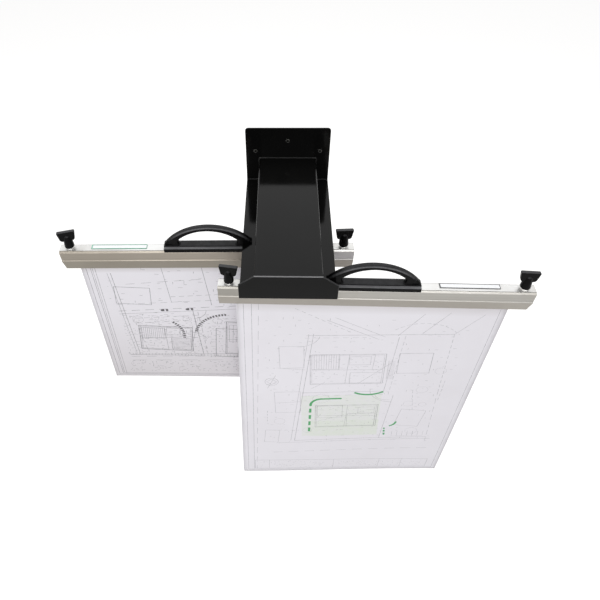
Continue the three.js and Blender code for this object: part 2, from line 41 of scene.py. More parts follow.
# Sizes in millimetres: the rack, the clamp, the handle, the label and the sheets
FOLD_STEEL = 2
PLATE_FRONT = -3
RACK_HALF = 101.5
ARM_HALF = 69
ARM_HEIGHT = 67
ARM_BACK = -3.3
ARM_FRONT = -385.7
FLANGE_TOP = -76
PLATE_RISE = 154
SHOULDER_RISE = 41
SHOULDER_BACK = -386
FIXING_SPOTS = [(-78, 88), (78, 88), (0, 118)]
WELD_LEG = 1.8
CLAMP_HALF = 336
KNOB_X = 312
WING_THICKNESS = 8.5
WING_FOOT = 24.8
WING_TOP = 52.3
HANDLE_X = -9
HANDLE_HALF = 103
HANDLE_DEPTH = 15
HANDLE_SPRING = 13
HANDLE_TOP = 67.2
GRIP_ROUNDING = 5.2
OPENING_X = 2.9
OPENING_HALF = 65.9
OPENING_FLOOR = 11.9
OPENING_SPRING = 27
OPENING_TOP = 53.6
NOSE_END = -96.8
NOSE_MIDDLE = 18.1
NOSE_SIZE = (18, 14.4, 10.4)
SLOT_REACHES = ((-HANDLE_HALF - 2, -74.8), (82.8, HANDLE_HALF + 2))
SLOT_MIDDLE = 16.05
SLOT_HEIGHT = 2.9
LABEL_X = 199
LABEL_SEAT = 0.3
SHEET_WIDTH = 594
SHEET_TOP = -42
SHEET_STEP = 0.32
CLAMPED_DEPTH = 27
LIP = -68

# Where each binder hangs: place of its clamp, and its turn, droop and knobs in degrees
BINDERS = {
    "front": {
        "place": (186, -335, -94.5229),
        "turn": 0,
        "droop": 0.9,
        "label": 3.2,
        "knobs": {"inner": -7, "outer": -3},
        "length": 841,
        "shift": 0,
        "viewer": -1,
    },
    "rear": {
        "place": (-186, -226, -93.3777),
        "turn": 180.9,
        "droop": 0.2,
        "label": -2,
        "knobs": {"inner": 2, "outer": 14},
        "length": 486,
        "shift": 6,
        "viewer": 1,
    },
}
ENDS = {"inner": -1, "outer": 1}


# Camera, in metres, radians and pixels

CAMERA_SPOT = (-0.016247, -1.170959, 0.882351)
PITCH = 0.74662
YAW = -0.0521
ROLL = -0.02984
FOCAL_PIXELS = 597.105
MIDDLE_PIXEL = (257.779, 215)
IMAGE_SIDE = 600
SENSOR = 36


def set_camera():
    level = math.cos(PITCH)
    ahead = Vector((math.sin(YAW) * level, math.cos(YAW) * level, -math.sin(PITCH)))
    right = Vector((math.cos(YAW), -math.sin(YAW), 0))
    up = right.cross(ahead)
    side = right * math.cos(ROLL) + up * math.sin(ROLL)
    top = up * math.cos(ROLL) - right * math.sin(ROLL)
    camera = bpy.data.objects.new("camera", bpy.data.cameras.new("camera"))
    scene.collection.objects.link(camera)
    turn = Matrix((side, top, -ahead)).transposed().to_4x4()
    camera.matrix_world = Matrix.Translation(CAMERA_SPOT) @ turn
    camera.data.sensor_width = SENSOR
    camera.data.lens = FOCAL_PIXELS * SENSOR / IMAGE_SIDE
    camera.data.shift_x = (IMAGE_SIDE / 2 - MIDDLE_PIXEL[0]) / IMAGE_SIDE
    camera.data.shift_y = (MIDDLE_PIXEL[1] - IMAGE_SIDE / 2) / IMAGE_SIDE
    camera.data.clip_start = 0.01
    scene.camera = camera


# Node helpers

def put(tree, kind, inputs=(), **settings):
    made = tree.nodes.new(kind)
    for name, value in settings.items():
        setattr(made, name, value)
    for socket, value in dict(inputs).items():
        if isinstance(value, bpy.types.NodeSocket):
            tree.links.new(value, made.inputs[socket])
        else:
            made.inputs[socket].default_value = value
    return made


def maths(tree, operation, first, second=0.0):
    return put(tree, "ShaderNodeMath", {0: first, 1: second}, operation=operation).outputs[0]


def times(tree, first, second):
    return maths(tree, "MULTIPLY", first, second)


def vectors(tree, operation, first, second=(0, 0, 0)):
    return put(tree, "ShaderNodeVectorMath", {0: first, 1: second}, operation=operation)


def tint(tree, factor, first, second):
    return put(tree, "ShaderNodeMix", {0: factor, 6: first, 7: second}, data_type="RGBA").outputs[2]


def spread(tree, value, low, high, start=0.0, end=1.0):
    inputs = {"Value": value, "From Min": start, "From Max": end, "To Min": low, "To Max": high}
    return put(tree, "ShaderNodeMapRange", inputs).outputs[0]


def noise(tree, place, scale, detail, roughness=0.5):
    inputs = {"Vector": place, "Scale": scale, "Detail": detail, "Roughness": roughness}
    return put(tree, "ShaderNodeTexNoise", inputs).outputs[0]


def toned(colour, level):
    return tuple(level * part for part in colour) + (1,)


def object_place(tree):
    return put(tree, "ShaderNodeTexCoord").outputs["Object"]


def part_of(tree, vector, axis):
    return put(tree, "ShaderNodeSeparateXYZ", {0: vector}).outputs[axis]


def facing_up(tree):
    return part_of(tree, put(tree, "ShaderNodeNewGeometry").outputs["Normal"], 2)


def laid_on(tree, layer):
    return put(tree, "ShaderNodeAttribute", attribute_name=layer).outputs["Fac"]


def new_group(name, inputs, outputs):
    tree = bpy.data.node_groups.new(name, "ShaderNodeTree")
    for socket, kind, value in inputs:
        made = tree.interface.new_socket(socket, in_out="INPUT", socket_type=kind)
        made.default_value = value
    for socket in outputs:
        tree.interface.new_socket(socket, in_out="OUTPUT", socket_type="NodeSocketFloat")
    start = tree.nodes.new("NodeGroupInput")
    end = tree.nodes.new("NodeGroupOutput")
    return tree, start.outputs, end.inputs


def new_finish(name):
    material = bpy.data.materials.new(name)
    material.use_nodes = True
    tree = material.node_tree
    return material, tree, tree.nodes["Principled BSDF"]


VECTOR = "NodeSocketVector"
FLOAT = "NodeSocketFloat"


# Shared surface effects

# Edge mask from the bevel node: real edge wear, and also a painted highlight where a finish tints its edges
# much lighter than its faces
def edge_wear_and_sheen_group():
    tree, given, result = new_group(
        "edge_wear_and_sheen", [("Place", VECTOR, (0, 0, 0)), ("Radius", FLOAT, 0.001)], ["Mask"])
    rounded = put(tree, "ShaderNodeBevel", {"Radius": given["Radius"]}, samples=4)
    true = put(tree, "ShaderNodeNewGeometry").outputs["Normal"]
    facing = vectors(tree, "DOT_PRODUCT", rounded.outputs[0], true).outputs["Value"]
    edge = spread(tree, facing, 1.0, 0.0, 0.75, 0.985)
    broken = spread(tree, noise(tree, given["Place"], 70.0, 3.0), 0.25, 1.0, 0.35, 0.65)
    tree.links.new(times(tree, edge, broken), result["Mask"])
    return tree


def fine_grain_group():
    tree, given, result = new_group(
        "fine_grain", [("Place", VECTOR, (0, 0, 0)), ("Scale", FLOAT, 500.0)], ["Height", "Mask"])
    bumps = noise(tree, given["Place"], given["Scale"], 2.0)
    specks = noise(tree, given["Place"], times(tree, given["Scale"], 3.1), 1.0)
    both = maths(tree, "ADD", bumps, times(tree, specks, 0.35))
    tree.links.new(both, result["Height"])
    tree.links.new(spread(tree, specks, 0.0, 1.0, 0.35, 0.65), result["Mask"])
    return tree


def handling_group():
    tree, given, result = new_group(
        "handling", [("Place", VECTOR, (0, 0, 0)), ("Scale", FLOAT, 8.0)], ["Mask"])
    clouds = noise(tree, given["Place"], given["Scale"], 5.0, 0.6)
    tree.links.new(spread(tree, clouds, 0.0, 1.0, 0.35, 0.68), result["Mask"])
    return tree


# Painted top light: faces turned upward are tinted lighter in dust-like clouds, standing in for light
# falling from above
def painted_top_light_group():
    tree, given, result = new_group(
        "painted_top_light", [("Place", VECTOR, (0, 0, 0)), ("Scale", FLOAT, 60.0)], ["Mask"])
    upward = spread(tree, facing_up(tree), 0.0, 1.0, 0.3, 0.95)
    clouds = noise(tree, given["Place"], given["Scale"], 4.0)
    broken = spread(tree, clouds, 0.55, 1.0, 0.3, 0.7)
    tree.links.new(times(tree, upward, broken), result["Mask"])
    return tree


# Marks drawn on paper, in millimetres from the sheet's lower left corner

INK_EDGE = 0.3
DASH_LEVEL = -0.35
PATCH = [("Place", VECTOR, (0, 0, 0)), ("Centre", VECTOR, (0, 0, 0)), ("Half", VECTOR, (1, 1, 0)),
         ("Turn", FLOAT, 0.0)]


def ink_of(tree, distance, width):
    half = times(tree, width, 0.5)
    soft = maths(tree, "ADD", half, INK_EDGE)
    inputs = {"Value": distance, "From Min": half, "From Max": soft, "To Min": 1.0, "To Max": 0.0}
    return put(tree, "ShaderNodeMapRange", inputs, interpolation_type="SMOOTHSTEP").outputs[0]


def dashed(tree, along, dash):
    wave = maths(tree, "SINE", times(tree, along, dash))
    return maths(tree, "GREATER_THAN", wave, DASH_LEVEL)


def past_patch(tree, given):
    moved = vectors(tree, "SUBTRACT", given["Place"], given["Centre"]).outputs[0]
    inputs = {"Vector": moved, "Angle": given["Turn"]}
    turned = put(tree, "ShaderNodeVectorRotate", inputs, rotation_type="Z_AXIS").outputs[0]
    size = vectors(tree, "ABSOLUTE", turned).outputs[0]
    past = vectors(tree, "SUBTRACT", size, given["Half"]).outputs[0]
    sides = put(tree, "ShaderNodeSeparateXYZ", {0: past}).outputs
    return turned, maths(tree, "MAXIMUM", sides[0], sides[1])


def drawn_frame_group():
    tree, given, result = new_group("drawn_frame", PATCH + [("Width", FLOAT, 0.7)], ["Ink", "Inside"])
    reach = past_patch(tree, given)[1]
    tree.links.new(ink_of(tree, maths(tree, "ABSOLUTE", reach), given["Width"]), result["Ink"])
    tree.links.new(maths(tree, "LESS_THAN", reach, 0.0), result["Inside"])
    return tree


def drawn_grid_group():
    pitches = [("Across", FLOAT, 10.0), ("Up", FLOAT, 10.0), ("Width", FLOAT, 0.5)]
    tree, given, result = new_group("drawn_grid", PATCH + pitches, ["Ink"])
    turned, past = past_patch(tree, given)
    inside = maths(tree, "LESS_THAN", past, INK_EDGE)
    corner = put(tree, "ShaderNodeSeparateXYZ", {0: vectors(tree, "ADD", turned, given["Half"]).outputs[0]})
    inks = []
    for axis, pitch in ((0, given["Across"]), (1, given["Up"])):
        half = times(tree, pitch, 0.5)
        step = maths(tree, "FLOORED_MODULO", maths(tree, "ADD", corner.outputs[axis], half), pitch)
        away = maths(tree, "ABSOLUTE", maths(tree, "SUBTRACT", step, half))
        inks.append(ink_of(tree, away, given["Width"]))
    tree.links.new(times(tree, maths(tree, "MAXIMUM", *inks), inside), result["Ink"])
    return tree


def drawn_line_group():
    tree, given, result = new_group("drawn_line", [
        ("Place", VECTOR, (0, 0, 0)), ("From", VECTOR, (0, 0, 0)), ("To", VECTOR, (1, 0, 0)),
        ("Width", FLOAT, 0.7), ("Dash", FLOAT, 0.0)], ["Ink"])
    along = vectors(tree, "SUBTRACT", given["To"], given["From"]).outputs[0]
    moved = vectors(tree, "SUBTRACT", given["Place"], given["From"]).outputs[0]
    up = vectors(tree, "DOT_PRODUCT", moved, along).outputs["Value"]
    whole = vectors(tree, "DOT_PRODUCT", along, along).outputs["Value"]
    share = put(tree, "ShaderNodeMath", {0: up, 1: whole}, operation="DIVIDE", use_clamp=True).outputs[0]
    foot = put(tree, "ShaderNodeVectorMath", {0: along, "Scale": share}, operation="SCALE").outputs[0]
    away = vectors(tree, "DISTANCE", moved, foot).outputs["Value"]
    ink = ink_of(tree, away, given["Width"])
    tree.links.new(times(tree, ink, dashed(tree, share, given["Dash"])), result["Ink"])
    return tree


def drawn_arc_group():
    tree, given, result = new_group("drawn_arc", [
        ("Place", VECTOR, (0, 0, 0)), ("Centre", VECTOR, (0, 0, 0)), ("Radius", FLOAT, 10.0),
        ("Start", FLOAT, 0.0), ("Sweep", FLOAT, 1.0), ("Width", FLOAT, 0.7), ("Dash", FLOAT, 0.0)], ["Ink"])
    moved = vectors(tree, "SUBTRACT", given["Place"], given["Centre"]).outputs[0]
    far = vectors(tree, "LENGTH", moved).outputs["Value"]
    away = maths(tree, "ABSOLUTE", maths(tree, "SUBTRACT", far, given["Radius"]))
    parts = put(tree, "ShaderNodeSeparateXYZ", {0: moved})
    angle = maths(tree, "ARCTAN2", parts.outputs[1], parts.outputs[0])
    turned = maths(tree, "FLOORED_MODULO", maths(tree, "SUBTRACT", angle, given["Start"]), 2 * math.pi)
    within = maths(tree, "LESS_THAN", turned, given["Sweep"])
    ink = times(tree, ink_of(tree, away, given["Width"]), within)
    tree.links.new(times(tree, ink, dashed(tree, turned, given["Dash"])), result["Ink"])
    return tree


def drawn_ticks_group():
    ticks = [("Pitch", FLOAT, 20.0), ("Length", FLOAT, 6.0), ("Width", FLOAT, 0.5)]
    tree, given, result = new_group("drawn_ticks", PATCH + ticks, ["Ink"])
    turned, past = past_patch(tree, given)
    inside = maths(tree, "LESS_THAN", past, INK_EDGE)
    inputs = {"Vector": turned, "Scale": maths(tree, "DIVIDE", 1.0, given["Pitch"])}
    cells = put(tree, "ShaderNodeTexVoronoi", inputs, voronoi_dimensions="2D").outputs
    chance = put(tree, "ShaderNodeSeparateColor", {0: cells["Color"]}).outputs
    local = vectors(tree, "SUBTRACT", turned, cells["Position"]).outputs[0]
    upright = times(tree, maths(tree, "GREATER_THAN", chance[0], 0.66), math.pi / 2)
    inputs = {"Vector": local, "Angle": upright}
    laid = put(tree, "ShaderNodeVectorRotate", inputs, rotation_type="Z_AXIS").outputs[0]
    size = put(tree, "ShaderNodeSeparateXYZ", {0: vectors(tree, "ABSOLUTE", laid).outputs[0]}).outputs
    reach = times(tree, given["Length"], spread(tree, chance[1], 0.15, 0.5))
    kept = times(tree, maths(tree, "LESS_THAN", size[0], reach), inside)
    some = times(tree, kept, maths(tree, "GREATER_THAN", chance[2], 0.35))
    tree.links.new(times(tree, ink_of(tree, size[1], given["Width"]), some), result["Ink"])
    return tree


EDGE_WEAR_AND_SHEEN = edge_wear_and_sheen_group()
FINE_GRAIN = fine_grain_group()
HANDLING = handling_group()
PAINTED_TOP_LIGHT = painted_top_light_group()
DRAWN_FRAME = drawn_frame_group()
DRAWN_GRID = drawn_grid_group()
DRAWN_LINE = drawn_line_group()
DRAWN_ARC = drawn_arc_group()
DRAWN_TICKS = drawn_ticks_group()


def grouped(tree, group, **inputs):
    named = {key.capitalize(): value for key, value in inputs.items()}
    return put(tree, "ShaderNodeGroup", named, node_tree=group).outputs


def bumped(tree, shader, height, strength, depth):
    bump = put(tree, "ShaderNodeBump", {"Height": height, "Strength": strength, "Distance": depth})
    tree.links.new(bump.outputs[0], shader.inputs["Normal"])


# Finishes: face layers on some pieces hold painted light: painted highlights on bends, edges, knob tops and
# the handle's grip, the lit front ring of the wall screws, and painted shade at the handle's ends and in the
# clamp's grooves

def powder_coat():
    material, tree, shader = new_finish("powder_coat_black")
    place = object_place(tree)
    peel = grouped(tree, FINE_GRAIN, place=place, scale=480.0)
    smudge = grouped(tree, HANDLING, place=place, scale=7.0)["Mask"]
    edge = grouped(tree, EDGE_WEAR_AND_SHEEN, place=place, radius=0.0012)["Mask"]
    coat = tint(tree, smudge, (0.0022, 0.0022, 0.0022, 1), (0.0034, 0.0034, 0.0031, 1))
    speckled = tint(tree, times(tree, peel["Mask"], 0.25), coat, (0.006, 0.006, 0.006, 1))
    # Edges tinted grey: partly real chipped coat, partly a painted highlight
    worn_and_sheened = tint(tree, times(tree, edge, 0.7), speckled, (0.13, 0.13, 0.125, 1))
    # Painted highlight: faces marked in a face layer on the bends and the front plate's top rounding take a
    # pale grey
    painted_light = laid_on(tree, "painted_light")
    uneven = times(tree, painted_light, spread(tree, peel["Mask"], 1.0, 0.8))
    coat_highlighted = tint(tree, uneven, worn_and_sheened, (0.23, 0.23, 0.235, 1))
    tree.links.new(coat_highlighted, shader.inputs["Base Color"])
    tree.links.new(spread(tree, smudge, 0.09, 0.14), shader.inputs["Roughness"])
    shader.inputs["Specular IOR Level"].default_value = 0.095
    bumped(tree, shader, peel["Height"], 0.05, 0.0002)
    return material


def moulding():
    material, tree, shader = new_finish("moulding_black")
    place = object_place(tree)
    sparks = grouped(tree, FINE_GRAIN, place=place, scale=900.0)
    smudge = grouped(tree, HANDLING, place=place, scale=22.0)["Mask"]
    edge = grouped(tree, EDGE_WEAR_AND_SHEEN, place=place, radius=0.0009)["Mask"]
    body = tint(tree, smudge, (0.0018, 0.0018, 0.002, 1), (0.0032, 0.0032, 0.0034, 1))
    speckled = tint(tree, times(tree, sparks["Mask"], 0.3), body, (0.007, 0.007, 0.007, 1))
    worn_and_sheened = tint(tree, times(tree, edge, 0.4), speckled, (0.05, 0.05, 0.05, 1))
    # Painted top light: upward faces take a lighter grey in dust-like clouds, less towards the handle's
    # ends, where a point layer paints shade
    top_light = grouped(tree, PAINTED_TOP_LIGHT, place=place, scale=90.0)["Mask"]
    painted_end_shade = laid_on(tree, "painted_end_shade")
    top_light_share = times(tree, top_light, maths(tree, "SUBTRACT", 0.88, painted_end_shade))
    top_lit = tint(tree, top_light_share, worn_and_sheened, (0.036, 0.036, 0.038, 1))
    # Painted highlight: the handle's ledge and grip band and the knobs' tops, marked in a face layer, take a
    # lighter grey
    painted_light = laid_on(tree, "painted_light")
    uneven = times(tree, painted_light, spread(tree, smudge, 1.0, 0.7))
    moulding_highlighted = tint(tree, uneven, top_lit, (0.2, 0.2, 0.207, 1))
    tree.links.new(moulding_highlighted, shader.inputs["Base Color"])
    tree.links.new(spread(tree, smudge, 0.2, 0.3), shader.inputs["Roughness"])
    shader.inputs["Specular IOR Level"].default_value = 0.055
    bumped(tree, shader, sparks["Height"], 0.12, 0.00025)
    return material


def extrusion(name, turn, tone, under_shade_tone, end_light_tone, end_light_from, end_light_to):
    material, tree, shader = new_finish(name)
    place = object_place(tree)
    inputs = {"Vector": place, "Rotation": (0, 0, -math.radians(turn))}
    along = put(tree, "ShaderNodeMapping", inputs, vector_type="POINT").outputs[0]
    streaks = noise(tree, vectors(tree, "MULTIPLY", along, (2.5, 420, 420)).outputs[0], 1.0, 4.0)
    hair = noise(tree, vectors(tree, "MULTIPLY", along, (14, 1700, 1700)).outputs[0], 1.0, 2.0)
    smudge = grouped(tree, HANDLING, place=place, scale=11.0)["Mask"]
    edge = grouped(tree, EDGE_WEAR_AND_SHEEN, place=place, radius=0.0006)["Mask"]
    lines = spread(tree, streaks, 0.0, 1.0, 0.3, 0.7)
    broken = spread(tree, lines, 1.0, 0.8)
    # Painted light along the length: the tone drifts to an end tone, darker at the front binder's left end
    # and lighter at the rear binder's right end
    end_light = spread(tree, part_of(tree, place, 0), 0.0, 1.0, end_light_from, end_light_to)
    middle, end = (tint(tree, lines, toned(shade, 0.93), toned(shade, 1.07)) for shade in (tone, end_light_tone))
    sides = tint(tree, end_light, middle, end)
    # Painted top light: faces turned upward take a lighter neutral tone
    lit_tops = tint(tree, lines, (0.44, 0.44, 0.436, 1), (0.49, 0.49, 0.486, 1))
    facing = facing_up(tree)
    metal = tint(tree, spread(tree, facing, 0.0, 1.0, 0.78, 0.95), sides, lit_tops)
    # Painted shade on faces turned downward, joined with real handling smudges
    under = times(tree, spread(tree, facing, 1.0, 0.0, -0.29, -0.1), broken)
    under_shade_and_smudge = maths(tree, "MAXIMUM", under, times(tree, smudge, 0.25))
    shaded_and_smudged = tint(tree, under_shade_and_smudge, metal, toned(under_shade_tone, 0.96))
    # Edges tinted pale: partly real edge wear, partly a painted highlight
    worn_and_sheened = tint(tree, times(tree, edge, 0.48), shaded_and_smudged, (0.8, 0.79, 0.76, 1))
    # Painted shade: faces in the grooves between spine and jaws, marked in a face layer, are tinted near
    # black
    groove_shade_mask = times(tree, laid_on(tree, "groove_shade"), broken)
    groove_shaded = tint(tree, groove_shade_mask, worn_and_sheened, (0.05, 0.05, 0.048, 1))
    tree.links.new(groove_shaded, shader.inputs["Base Color"])
    rough = maths(tree, "ADD", spread(tree, lines, 0.4, 0.47), times(tree, smudge, 0.06))
    tree.links.new(rough, shader.inputs["Roughness"])
    shader.inputs["Metallic"].default_value = 1.0
    both = maths(tree, "ADD", streaks, times(tree, hair, 0.5))
    bumped(tree, shader, both, 0.1, 0.00012)
    return material


def zinc_steel():
    material, tree, shader = new_finish("zinc_steel")
    place = object_place(tree)
    spangle = put(tree, "ShaderNodeTexVoronoi", {"Vector": place, "Scale": 900.0}).outputs["Color"]
    grey = put(tree, "ShaderNodeRGBToBW", {0: spangle}).outputs[0]
    edge = grouped(tree, EDGE_WEAR_AND_SHEEN, place=place, radius=0.0005)["Mask"]
    metal = tint(tree, grey, (0.38, 0.38, 0.35, 1), (0.5, 0.5, 0.46, 1))
    worn_and_sheened = tint(tree, edge, metal, (0.72, 0.71, 0.67, 1))
    tree.links.new(worn_and_sheened, shader.inputs["Base Color"])
    tree.links.new(spread(tree, grey, 0.24, 0.4), shader.inputs["Roughness"])
    shader.inputs["Metallic"].default_value = 1.0
    grain = grouped(tree, FINE_GRAIN, place=place, scale=1500.0)
    bumped(tree, shader, grain["Height"], 0.1, 0.0001)
    return material


def black_screw():
    material, tree, shader = new_finish("screw_black")
    place = object_place(tree)
    grain = grouped(tree, FINE_GRAIN, place=place, scale=1100.0)
    edge = grouped(tree, EDGE_WEAR_AND_SHEEN, place=place, radius=0.0005)["Mask"]
    # Painted light and shade: the flat front ring, marked in a face layer, keeps the oxide grey; the socket
    # and the head's sides are painted near black as shade
    painted_light = laid_on(tree, "painted_light")
    oxide = tint(tree, grain["Mask"], (0.07, 0.07, 0.065, 1), (0.115, 0.115, 0.106, 1))
    ring = tint(tree, painted_light, (0.003, 0.003, 0.003, 1), oxide)
    worn_and_sheened = tint(tree, times(tree, edge, painted_light), ring, (0.26, 0.26, 0.24, 1))
    tree.links.new(worn_and_sheened, shader.inputs["Base Color"])
    tree.links.new(spread(tree, grain["Mask"], 0.3, 0.42), shader.inputs["Roughness"])
    shader.inputs["Metallic"].default_value = 1.0
    bumped(tree, shader, grain["Height"], 0.1, 0.0001)
    return material


def rim_plastic(name, low, high):
    material, tree, shader = new_finish(name)
    place = object_place(tree)
    grain = grouped(tree, FINE_GRAIN, place=place, scale=700.0)
    smudge = grouped(tree, HANDLING, place=place, scale=30.0)["Mask"]
    tree.links.new(tint(tree, smudge, low, high), shader.inputs["Base Color"])
    tree.links.new(spread(tree, grain["Mask"], 0.3, 0.42), shader.inputs["Roughness"])
    bumped(tree, shader, grain["Height"], 0.1, 0.0001)
    return material


def card_stock():
    material, tree, shader = new_finish("label_card_white")
    place = object_place(tree)
    fibre = grouped(tree, FINE_GRAIN, place=place, scale=420.0)
    smudge = grouped(tree, HANDLING, place=place, scale=18.0)["Mask"]
    clean = tint(tree, smudge, (0.93, 0.94, 0.95, 1), (0.89, 0.9, 0.91, 1))
    flecked = tint(tree, times(tree, fibre["Mask"], 0.12), clean, (0.7, 0.71, 0.72, 1))
    tree.links.new(flecked, shader.inputs["Base Color"])
    tree.links.new(spread(tree, fibre["Mask"], 0.5, 0.62), shader.inputs["Roughness"])
    bumped(tree, shader, fibre["Height"], 0.08, 0.0001)
    return material


def paper_ground(tree):
    place = object_place(tree)
    fibre = grouped(tree, FINE_GRAIN, place=place, scale=260.0)
    smudge = grouped(tree, HANDLING, place=place, scale=4.5)["Mask"]
    clean = tint(tree, smudge, (0.8, 0.785, 0.825, 1), (0.765, 0.748, 0.785, 1))
    flecked = tint(tree, times(tree, fibre["Mask"], 0.15), clean, (0.72, 0.705, 0.74, 1))
    return flecked, fibre


def paper_feel(tree, shader, fibre):
    tree.links.new(spread(tree, fibre["Mask"], 0.72, 0.85), shader.inputs["Roughness"])
    shader.inputs["Specular IOR Level"].default_value = 0.3
    bumped(tree, shader, fibre["Height"], 0.06, 0.0001)


def plain_paper():
    material, tree, shader = new_finish("paper_plain")
    ground, fibre = paper_ground(tree)
    tree.links.new(ground, shader.inputs["Base Color"])
    paper_feel(tree, shader, fibre)
    return material


def patch_inputs(x, y, half_x, half_y, turn):
    return {"Centre": (x, y, 0), "Half": (half_x, half_y, 0), "Turn": math.radians(turn)}


# Each mark waits for the one before it, which keeps the shader's working memory small

def inked(tree, place, drawing):
    marks = []
    for *patch, width in drawing.get("frames", ()):
        marks.append((DRAWN_FRAME, {**patch_inputs(*patch), "Width": width}))
    for *patch, across, up, width in drawing.get("grids", ()):
        marks.append((DRAWN_GRID, {**patch_inputs(*patch), "Across": across, "Up": up, "Width": width}))
    for x0, y0, x1, y1, width, dash in drawing.get("lines", ()):
        marks.append((DRAWN_LINE, {"From": (x0, y0, 0), "To": (x1, y1, 0), "Width": width, "Dash": dash}))
    for x, y, radius, start, sweep, width, dash in drawing.get("arcs", ()):
        marks.append((DRAWN_ARC, {
            "Centre": (x, y, 0), "Radius": radius, "Start": math.radians(start),
            "Sweep": math.radians(sweep), "Width": width, "Dash": dash}))
    for *patch, pitch, length, width in drawing.get("ticks", ()):
        ticks = {"Pitch": pitch, "Length": length, "Width": width}
        marks.append((DRAWN_TICKS, {**patch_inputs(*patch), **ticks}))
    total = None
    spot = place
    for group, inputs in marks:
        mark = put(tree, "ShaderNodeGroup", {"Place": spot, **inputs}, node_tree=group).outputs["Ink"]
        total = maths(tree, "MAXIMUM", total, mark) if total else mark
        inputs = {0: total, 1: (1e-9, 1e-9, 1e-9), 2: place}
        spot = put(tree, "ShaderNodeVectorMath", inputs, operation="MULTIPLY_ADD").outputs[0]
    return total


def plan_paper(name, length, pencil, strength, strokes, stroke_colour, lawns, lower_shade, clamp_shadow):
    material, tree, shader = new_finish(name)
    ground, fibre = paper_ground(tree)
    unit = put(tree, "ShaderNodeUVMap", uv_map="sheet").outputs[0]
    place = vectors(tree, "MULTIPLY", unit, (SHEET_WIDTH, length, 0)).outputs[0]
    height = part_of(tree, unit, 1)
    # Painted shade: the sheet darker towards the bottom
    lower_shaded = times(tree, spread(tree, height, 1.0, 0.0, 0.05, 0.6), lower_shade)
    # Painted shadow of the clamp across the top of the visible sheet
    depth, fade = clamp_shadow
    full = 1 - CLAMPED_DEPTH / length
    clamp_shadow_mask = spread(tree, height, 0.0, depth, 1 - (CLAMPED_DEPTH + fade) / length, full)
    colour = tint(tree, maths(tree, "ADD", lower_shaded, clamp_shadow_mask), ground, (0.58, 0.55, 0.56, 1))
    clouds = vectors(tree, "MULTIPLY", unit, (9, 12, 0)).outputs[0]
    breaks = grouped(tree, HANDLING, place=clouds, scale=4.0)["Mask"]
    wash = spread(tree, breaks, 0.3, 0.6)
    for lawn in lawns:
        inputs = {"Place": place, **patch_inputs(*lawn)}
        patch = put(tree, "ShaderNodeGroup", inputs, node_tree=DRAWN_FRAME).outputs["Inside"]
        colour = tint(tree, times(tree, patch, wash), colour, (0.7, 0.75, 0.66, 1))
    lines = times(tree, inked(tree, place, pencil), spread(tree, breaks, *strength))
    colour = tint(tree, lines, colour, (0.12, 0.115, 0.13, 1))
    marker = times(tree, inked(tree, place, strokes), 0.92)
    colour = tint(tree, marker, colour, stroke_colour)
    tree.links.new(colour, shader.inputs["Base Color"])
    paper_feel(tree, shader, fibre)
    return material


